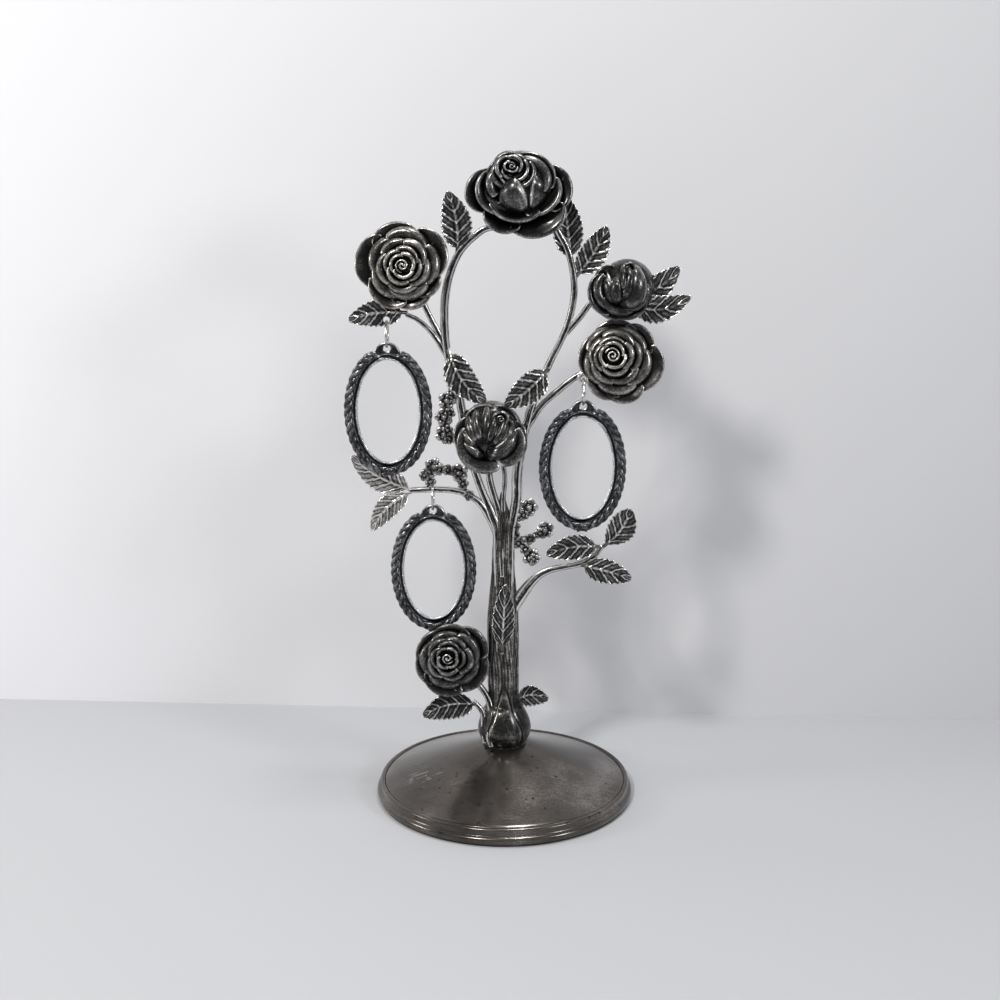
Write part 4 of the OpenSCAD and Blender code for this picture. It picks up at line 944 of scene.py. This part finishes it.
whorl = blossom.node("GeometryNodeInstanceOnPoints", None,
                     {"Points": corners.outputs[0], "Instance": dome.outputs[0], "Rotation": tilt.outputs[0]})
middle = blossom.node("GeometryNodeMeshUVSphere", None,
                      {"Segments": 12, "Rings": 8, "Radius": petal_size * 0.66})
raised = blossom.node("ShaderNodeCombineXYZ", None, {"Z": petal_size * 0.55})
eye = blossom.node("GeometryNodeTransform", None,
                   {"Geometry": middle.outputs[0], "Translation": raised.outputs[0]})
both = blossom.node("GeometryNodeJoinGeometry", None, {0: whorl.outputs[0]})
blossom.tree.links.new(eye.outputs[0], both.inputs[0])
one = blossom.node("GeometryNodeTransform", None,
                   {"Geometry": both.outputs[0], "Rotation": (math.pi / 2, 0.0, 0.0)})
spun = blossom.node("ShaderNodeCombineXYZ", None, {"Y": kept(blossom, "turn")})
blossom_row = blossom.node("GeometryNodeInstanceOnPoints", None,
                           {"Points": blossom_given.outputs["Start"], "Instance": one.outputs[0],
                            "Rotation": spun.outputs[0], "Scale": kept(blossom, "size")})
close_recipe(blossom, blossom_given, blossom_row.outputs[0])

berries, berry_given = shape_recipe("berry_row", berry_sizes)
berry = berries.node("GeometryNodeMeshUVSphere", None,
                     {"Segments": 14, "Rings": 9, "Radius": berry_given.outputs["Berry radius"]})
berry_row = berries.node("GeometryNodeInstanceOnPoints", None,
                         {"Points": berry_given.outputs["Start"], "Instance": berry.outputs[0],
                          "Scale": kept(berries, "size")})
close_recipe(berries, berry_given, berry_row.outputs[0])

spray_pewter = blackened_pewter("spray_pewter", 0.05, (1.0, 0.96, 0.93))


def points_at(name, places, sizes):
    """Points with a turn and a size for what stands on each of them."""
    mesh = bpy.data.meshes.new(name)
    mesh.from_pydata([(x * 0.001, y * 0.001, z * 0.001) for x, y, z, _ in places], [], [])
    turns = [0.7 * k for k in range(len(places))]
    mesh.attributes.new("turn", "FLOAT", "POINT").data.foreach_set("value", turns)
    mesh.attributes.new("size", "FLOAT", "POINT").data.foreach_set("value", sizes)
    return bpy.data.objects.new(name, mesh)


# Each spray: its twigs, its large flowers and its large berries
sprays = {
    "centre_spray": (
        [[high(-20.6, -0.5, 57.4, 0.6), high(-23.0, -0.8, 46, 0.58), high(-24.8, -0.9, 32.8, 0.55)],
         [high(-24.2, -0.7, 36, 0.55), high(-20.2, -0.4, 35.6, 0.55), high(-16.4, 0.2, 33.5, 0.55)]],
        [high(-23.3, -0.4, 50.6), high(-24.6, -0.4, 43.8), high(-24.6, -0.4, 36.8)],
        [high(-21.6, -1, 55.4), high(-20.2, -1, 35.4)]),
    "low_left_spray": (
        [[high(-31.5, -0.2, 14.2, 0.6), high(-29, -0.8, 23.4, 0.55)],
         [high(-29, -0.8, 23.4, 0.55), high(-23.8, -0.9, 22.5, 0.55), high(-18.6, -0.8, 20.8, 0.55)],
         [high(-18.6, -0.8, 20.8, 0.55), high(-15.4, 0, 11.8, 0.6)],
         [high(-29, -0.8, 23.4, 0.55), high(-33.4, -0.6, 20.2, 0.5)]],
        [high(-29, -0.8, 23.4), high(-18.6, -0.8, 20.8)],
        [high(-23.8, -1.1, 22.7), high(-33.4, -0.6, 20.2)]),
    "right_spray": (
        [[low(2.4, -0.5, 87.6, 0.6), low(9.6, -0.8, 90.0, 0.58), low(16.6, -1, 93.2, 0.55)],
         [low(5.2, -0.6, 88.7, 0.55), low(3.4, -0.5, 95.2, 0.55), low(10, -1, 102.8, 0.55)],
         [low(6.4, -0.7, 89.2, 0.55), low(11.2, -1, 81.6, 0.55)]],
        [low(10, -0.4, 102.8), low(16.6, -0.4, 93.2), low(11.2, -0.4, 81.6)],
        [low(8.2, -1, 89.4), low(12.4, -1.1, 90.9)]),
}
for name, (twigs, flowers, round_ones) in sprays.items():
    parts = [pulled(twig_shape(name, points, 0.1, 0.03, 0.0001, 6)) for points in twigs]
    along = [rounded(points, 12) for points in twigs]
    small = [line[k] + (0.9 * math.cos(k), -0.6, 0.9 * math.sin(k), 0)
             for line in along for k in range(5, len(line), 7)]
    buds = [line[k] + (0.8 * math.sin(2 * k), -0.4, 0.8 * math.cos(2 * k), 0)
            for line in along for k in range(1, len(line) - 1, 2)]
    for tree, values, places, shares in (
            (blossom, blossom_sizes, flowers + small, [1.0] * len(flowers) + [0.62] * len(small)),
            (berries, berry_sizes, round_ones + buds, [1.2] * len(round_ones) + [0.8] * len(buds))):
        row = grown(name, points_at(name, places, shares), tree, {**values, "Finish": spray_pewter})
        parts.append(pulled(row))
    spray = mesh_piece(name + "_blossoms", join(parts), spray_pewter)
    rub(spray.data, 0.26, 2.0, 0.6, 3)
    settle(spray, "stand", "spray_pewter", name)

# -------------------------------------------------------------------- rings
# Each frame hangs on a plain round ring, bent from nickelled wire and left split where its
# ends meet, so that it opens over an eye and over the frame's lug.
ring_r = 5.15
wire_r = 0.55
split_w = 0.15
ring_centres = {"left": (-46.8, -4.2, 197.1815), "right": (31.5, -4.2, 173.9815),
                "low": (-29.4, 0, 129.8315)}
nickel = bright_metal("ring_nickel", (0.42, 0.41, 0.39), (0.80, 0.79, 0.76))
for side, (x, y, z) in ring_centres.items():
    gap = split_w / 2 / ring_r
    around_ring = np.linspace(gap, 2 * math.pi - gap, 97)
    across_wire = np.arange(16) / 16 * 2 * math.pi
    wire = [[(x + wire_r * math.sin(c), y + (ring_r + wire_r * math.cos(c)) * math.cos(a),
              z + (ring_r + wire_r * math.cos(c)) * math.sin(a)) for c in across_wire] for a in around_ring]
    settle(mesh_piece(side + "_wire_ring", skin(wire), nickel), side + "_ring", "ring_nickel", side + "_ring")

# ------------------------------------------------------------- photo frames
# Three small oval pewter frames, all cast alike: a fine milled bead at the opening, a dark
# groove, and a rope moulding in two halves that meet under two crossed leaves. Each hangs on
# its ring by a half-round lug with a hole.
half_w, half_h = 12.2, 20.7
band_w = 2.5
moulding_w = 5.7
rope_centre, rope_r, rope_turns = 3.85, 1.78, 92.0
bead_r, beads_in_all = 0.36, 165
frame_drop = 25.4
ring_drop = 5.7
lug_r, lug_sunk, lug_hole_r = 5.3, 2.7, 1.3
under_lug = 17


def oval(angle, out, y):
    """Point on the opening's edge at an angle in degrees, moved outwards, at depth y."""
    a = math.radians(angle)
    nx, nz = half_h * math.cos(a), half_w * math.sin(a)
    size = math.hypot(nx, nz)
    return [half_w * math.cos(a) + out * nx / size, y, half_h * math.sin(a) + out * nz / size]


rope, rope_given = shape_recipe("twisted_rope", {"Turns per metre": rope_turns, "Strands": 3.0})
strand = (round_angle(rope) * rope_given.outputs["Strands"]).cosine() * 0.5 + 0.5
rope_section = section_of(rope, 48, 0.70 + 0.30 * strand ** 0.6)
close_recipe(rope, rope_given, sweep(rope, rope_given, rope_section, rope_given.outputs["Turns per metre"]))

milling, milling_given = shape_recipe("bead_row", {"Beads": beads_in_all, "Bead radius": bead_r * 0.001})
bead_places = milling.node("GeometryNodeResampleCurve", {"mode": "COUNT"},
                           {"Curve": milling_given.outputs["Start"], "Count": milling_given.outputs["Beads"]})
bead = milling.node("GeometryNodeMeshUVSphere", None,
                    {"Segments": 8, "Rings": 5, "Radius": milling_given.outputs["Bead radius"]})
bead_row = milling.node("GeometryNodeInstanceOnPoints", None,
                        {"Points": bead_places.outputs[0], "Instance": bead.outputs[0]})
close_recipe(milling, milling_given, bead_row.outputs[0])

frame_pewter = blackened_pewter("frame_pewter", 0.0, cool_grey)
moulding_rings = []
for angle in np.arange(0, 360, 1.5):
    bare = 1 / (1 + math.exp(-(abs(angle - 90) - under_lug) * 1.5))
    wide = band_w + (moulding_w - 0.3 - band_w) * bare
    section = [(0, -0.45), (0.18, -0.78), (0.8, -0.82), (1.05, -0.62), (1.6, -0.4), (2.0, -0.45),
               (max(2.1, wide - 0.5), -0.5 + 0.2 * bare), (wide, 0.1), (wide, 1.05), (wide - 0.3, 1.37),
               (wide - 0.55, 1.4), (1.3 + 0.5 * (wide - 1.3), 1.4), (1.55, 1.4), (1.3, 1.37), (1.3, 0.17),
               (0, 0.17)]
    moulding_rings.append([oval(angle, out, y) for out, y in section])
frame_parts = [skin(moulding_rings, True)]
for way in (1, -1):
    line = []
    for a in np.linspace(under_lug, 180, 260):
        taper = min(1, 0.72 + (a - under_lug) * 0.05, 0.72 + (180 - a) * 0.05)
        line.append((*oval(90 + way * a, rope_centre, -0.42), rope_r * taper))
    half_rope = grown("rope", path("rope", line), rope,
                      {"Turns per metre": rope_turns * way, "Strands": 3.0, "Finish": frame_pewter})
    frame_parts.append(pulled(half_rope))
bead_line = path("beads", [(*oval(a, 0.5, -0.8), 1) for a in range(0, 360, 2)], True)
frame_parts.append(pulled(grown("beads", bead_line, milling,
                                {"Beads": beads_in_all, "Bead radius": bead_r * 0.001,
                                 "Finish": frame_pewter})))
for slant in (30, 150):
    leaf_foot = (-2.6 * math.cos(math.radians(slant)), -2.0, -half_h - 5.1, 0)
    frame_parts.append(leaf_shape(leaf_foot, slant, 6.0, 2.6, 0.5, 0, 0, 0.1, 3)[0])
lug_rings = []
for a in np.arange(72) / 72 * 2 * math.pi:
    edge = math.sqrt(lug_r ** 2 - (lug_sunk * math.cos(a)) ** 2) - lug_sunk * math.sin(a)
    if math.sin(a) < 0:
        edge = min(edge, -lug_sunk / math.sin(a))
    section = [(lug_hole_r, 0.7), (lug_hole_r, -0.75), (1.42, -0.95), (1.7, -1.0), (1.95, -1.0),
               ((edge + 0.9) / 2, -1.0), (edge - 1.05, -1.0), (edge - 0.8, -1.0), (edge - 0.45, -0.95),
               (edge - 0.1, -0.7), (edge, -0.3), (edge, 0.7), (edge - 0.3, 1.0), (edge - 0.55, 1.0),
               ((edge + 1.2) / 2, 1.0), (1.75, 1.0), (1.5, 1.0)]
    lug_rings.append([(r * math.cos(a), y, r * math.sin(a) + frame_drop) for r, y in section])
frame_parts.append(skin(lug_rings, True))
frame_points, frame_faces = join(frame_parts)
for side, (x, y, z) in ring_centres.items():
    hung = frame_points + np.array([x, y, z - ring_drop - frame_drop])
    piece = mesh_piece(side + "_photo_frame", (hung, frame_faces), frame_pewter)
    rub(piece.data, 0.13, 1.6, 0.5, 3)
    settle(piece, side + "_frame", "frame_pewter", side + "_frame")

# ------------------------------------------------------- floor, light, camera
# A pale table and wall whose colour holds painted light, lighter at the left and darker at the right, four
# soft lamps (upper left, right, above and left side), and the camera of the photograph: a 54 mm lens,
# a little above the tree, 13.6 degrees down.


def backdrop_with_painted_falloff(name, left, right):
    """Matt paint with painted light: its colour fades from one shade at the left to another at the right, as
    the lamps' fall-off would; clear when seen from its back.
    """
    material, recipe = new_finish(name)
    here = recipe.node("ShaderNodeTexCoord").outputs["Object"]
    across = recipe.node("ShaderNodeSeparateXYZ", None, {0: here}).outputs["X"]
    # Painted light: the colour fades across X from the left shade to the right shade, standing in for the
    # lamps' fall-off over the surface
    share = recipe.level("ShaderNodeMapRange", None, {0: across, 1: -0.25, 2: 0.25})
    colour = recipe.node("ShaderNodeValToRGB", {"stops": [(0.0, left), (1.0, right)]}, {0: share})
    paint = recipe.node("ShaderNodeBsdfDiffuse", None, {"Color": colour.outputs[0]})
    clear = recipe.node("ShaderNodeBsdfTransparent")
    behind = recipe.node("ShaderNodeNewGeometry").outputs["Backfacing"]
    seen = recipe.node("ShaderNodeMixShader", None, {0: behind, 1: paint.outputs[0], 2: clear.outputs[0]})
    recipe.node("ShaderNodeOutputMaterial", None, {"Surface": seen.outputs[0]})
    return material


table_reach = 3000
table_corners = np.array([(-1, -1, 0), (1, -1, 0), (1, 1, 0), (-1, 1, 0)]) * table_reach
wall_corners = np.array([(-900, 146, 0), (900, 40, 0), (900, 40, 1500), (-900, 146, 1500)])
# Painted light: the table and the wall are painted lighter at the left and darker at the right, the fall-off
# of the lamps across them
floor_piece = mesh_piece("table_top", (table_corners, [[0, 1, 2, 3]]),
                         backdrop_with_painted_falloff("table_painted_falloff", (0.50, 0.505, 0.52), (0.46, 0.465, 0.48)))
wall_piece = mesh_piece("wall", (wall_corners, [[0, 1, 2, 3]]),
                        backdrop_with_painted_falloff("wall_painted_falloff", (0.80, 0.795, 0.82), (0.56, 0.56, 0.57)))

world = bpy.data.worlds.new("studio")
world.use_nodes = True
bpy.context.scene.world = world
sky = world.node_tree.nodes["Background"]
sky.inputs["Color"].default_value = (0.92, 0.95, 1.0, 1)
sky.inputs["Strength"].default_value = 0.34


def lamp(name, at, aim, size, watts, colour):
    light = bpy.data.lights.new(name, "AREA")
    light.shape, light.size, light.energy, light.color = "DISK", size, watts, colour
    made = bpy.data.objects.new(name, light)
    made.location = at
    made.rotation_euler = (Vector(aim) - Vector(at)).to_track_quat("-Z", "Y").to_euler()
    bpy.context.scene.collection.objects.link(made)


lamp("key_lamp", (-0.35, -0.62, 0.80), (0, 0, 0.17), 0.13, 5.2, (1.0, 0.98, 0.95))
lamp("fill_lamp", (0.62, -0.50, 0.42), (0, 0, 0.17), 0.16, 1.9, (0.95, 0.97, 1.0))
lamp("top_lamp", (0.12, -0.05, 0.95), (0, 0, 0.1), 0.18, 2.6, (1.0, 1.0, 1.0))
lamp("side_lamp", (-0.75, -0.15, 0.30), (0, 0, 0.17), 0.16, 1.3, (1.0, 0.97, 0.92))

lens = bpy.data.cameras.new("photo_camera")
lens.lens, lens.sensor_width = 54.0, 36.0
camera = bpy.data.objects.new("photo_camera", lens)
camera.location = (-0.0019, -0.598, 0.27305)
camera.rotation_euler = (math.radians(90 - 13.6), 0, 0)
bpy.context.scene.collection.objects.link(camera)
bpy.context.scene.camera = camera
bpy.context.scene.view_settings.view_transform = "Standard"
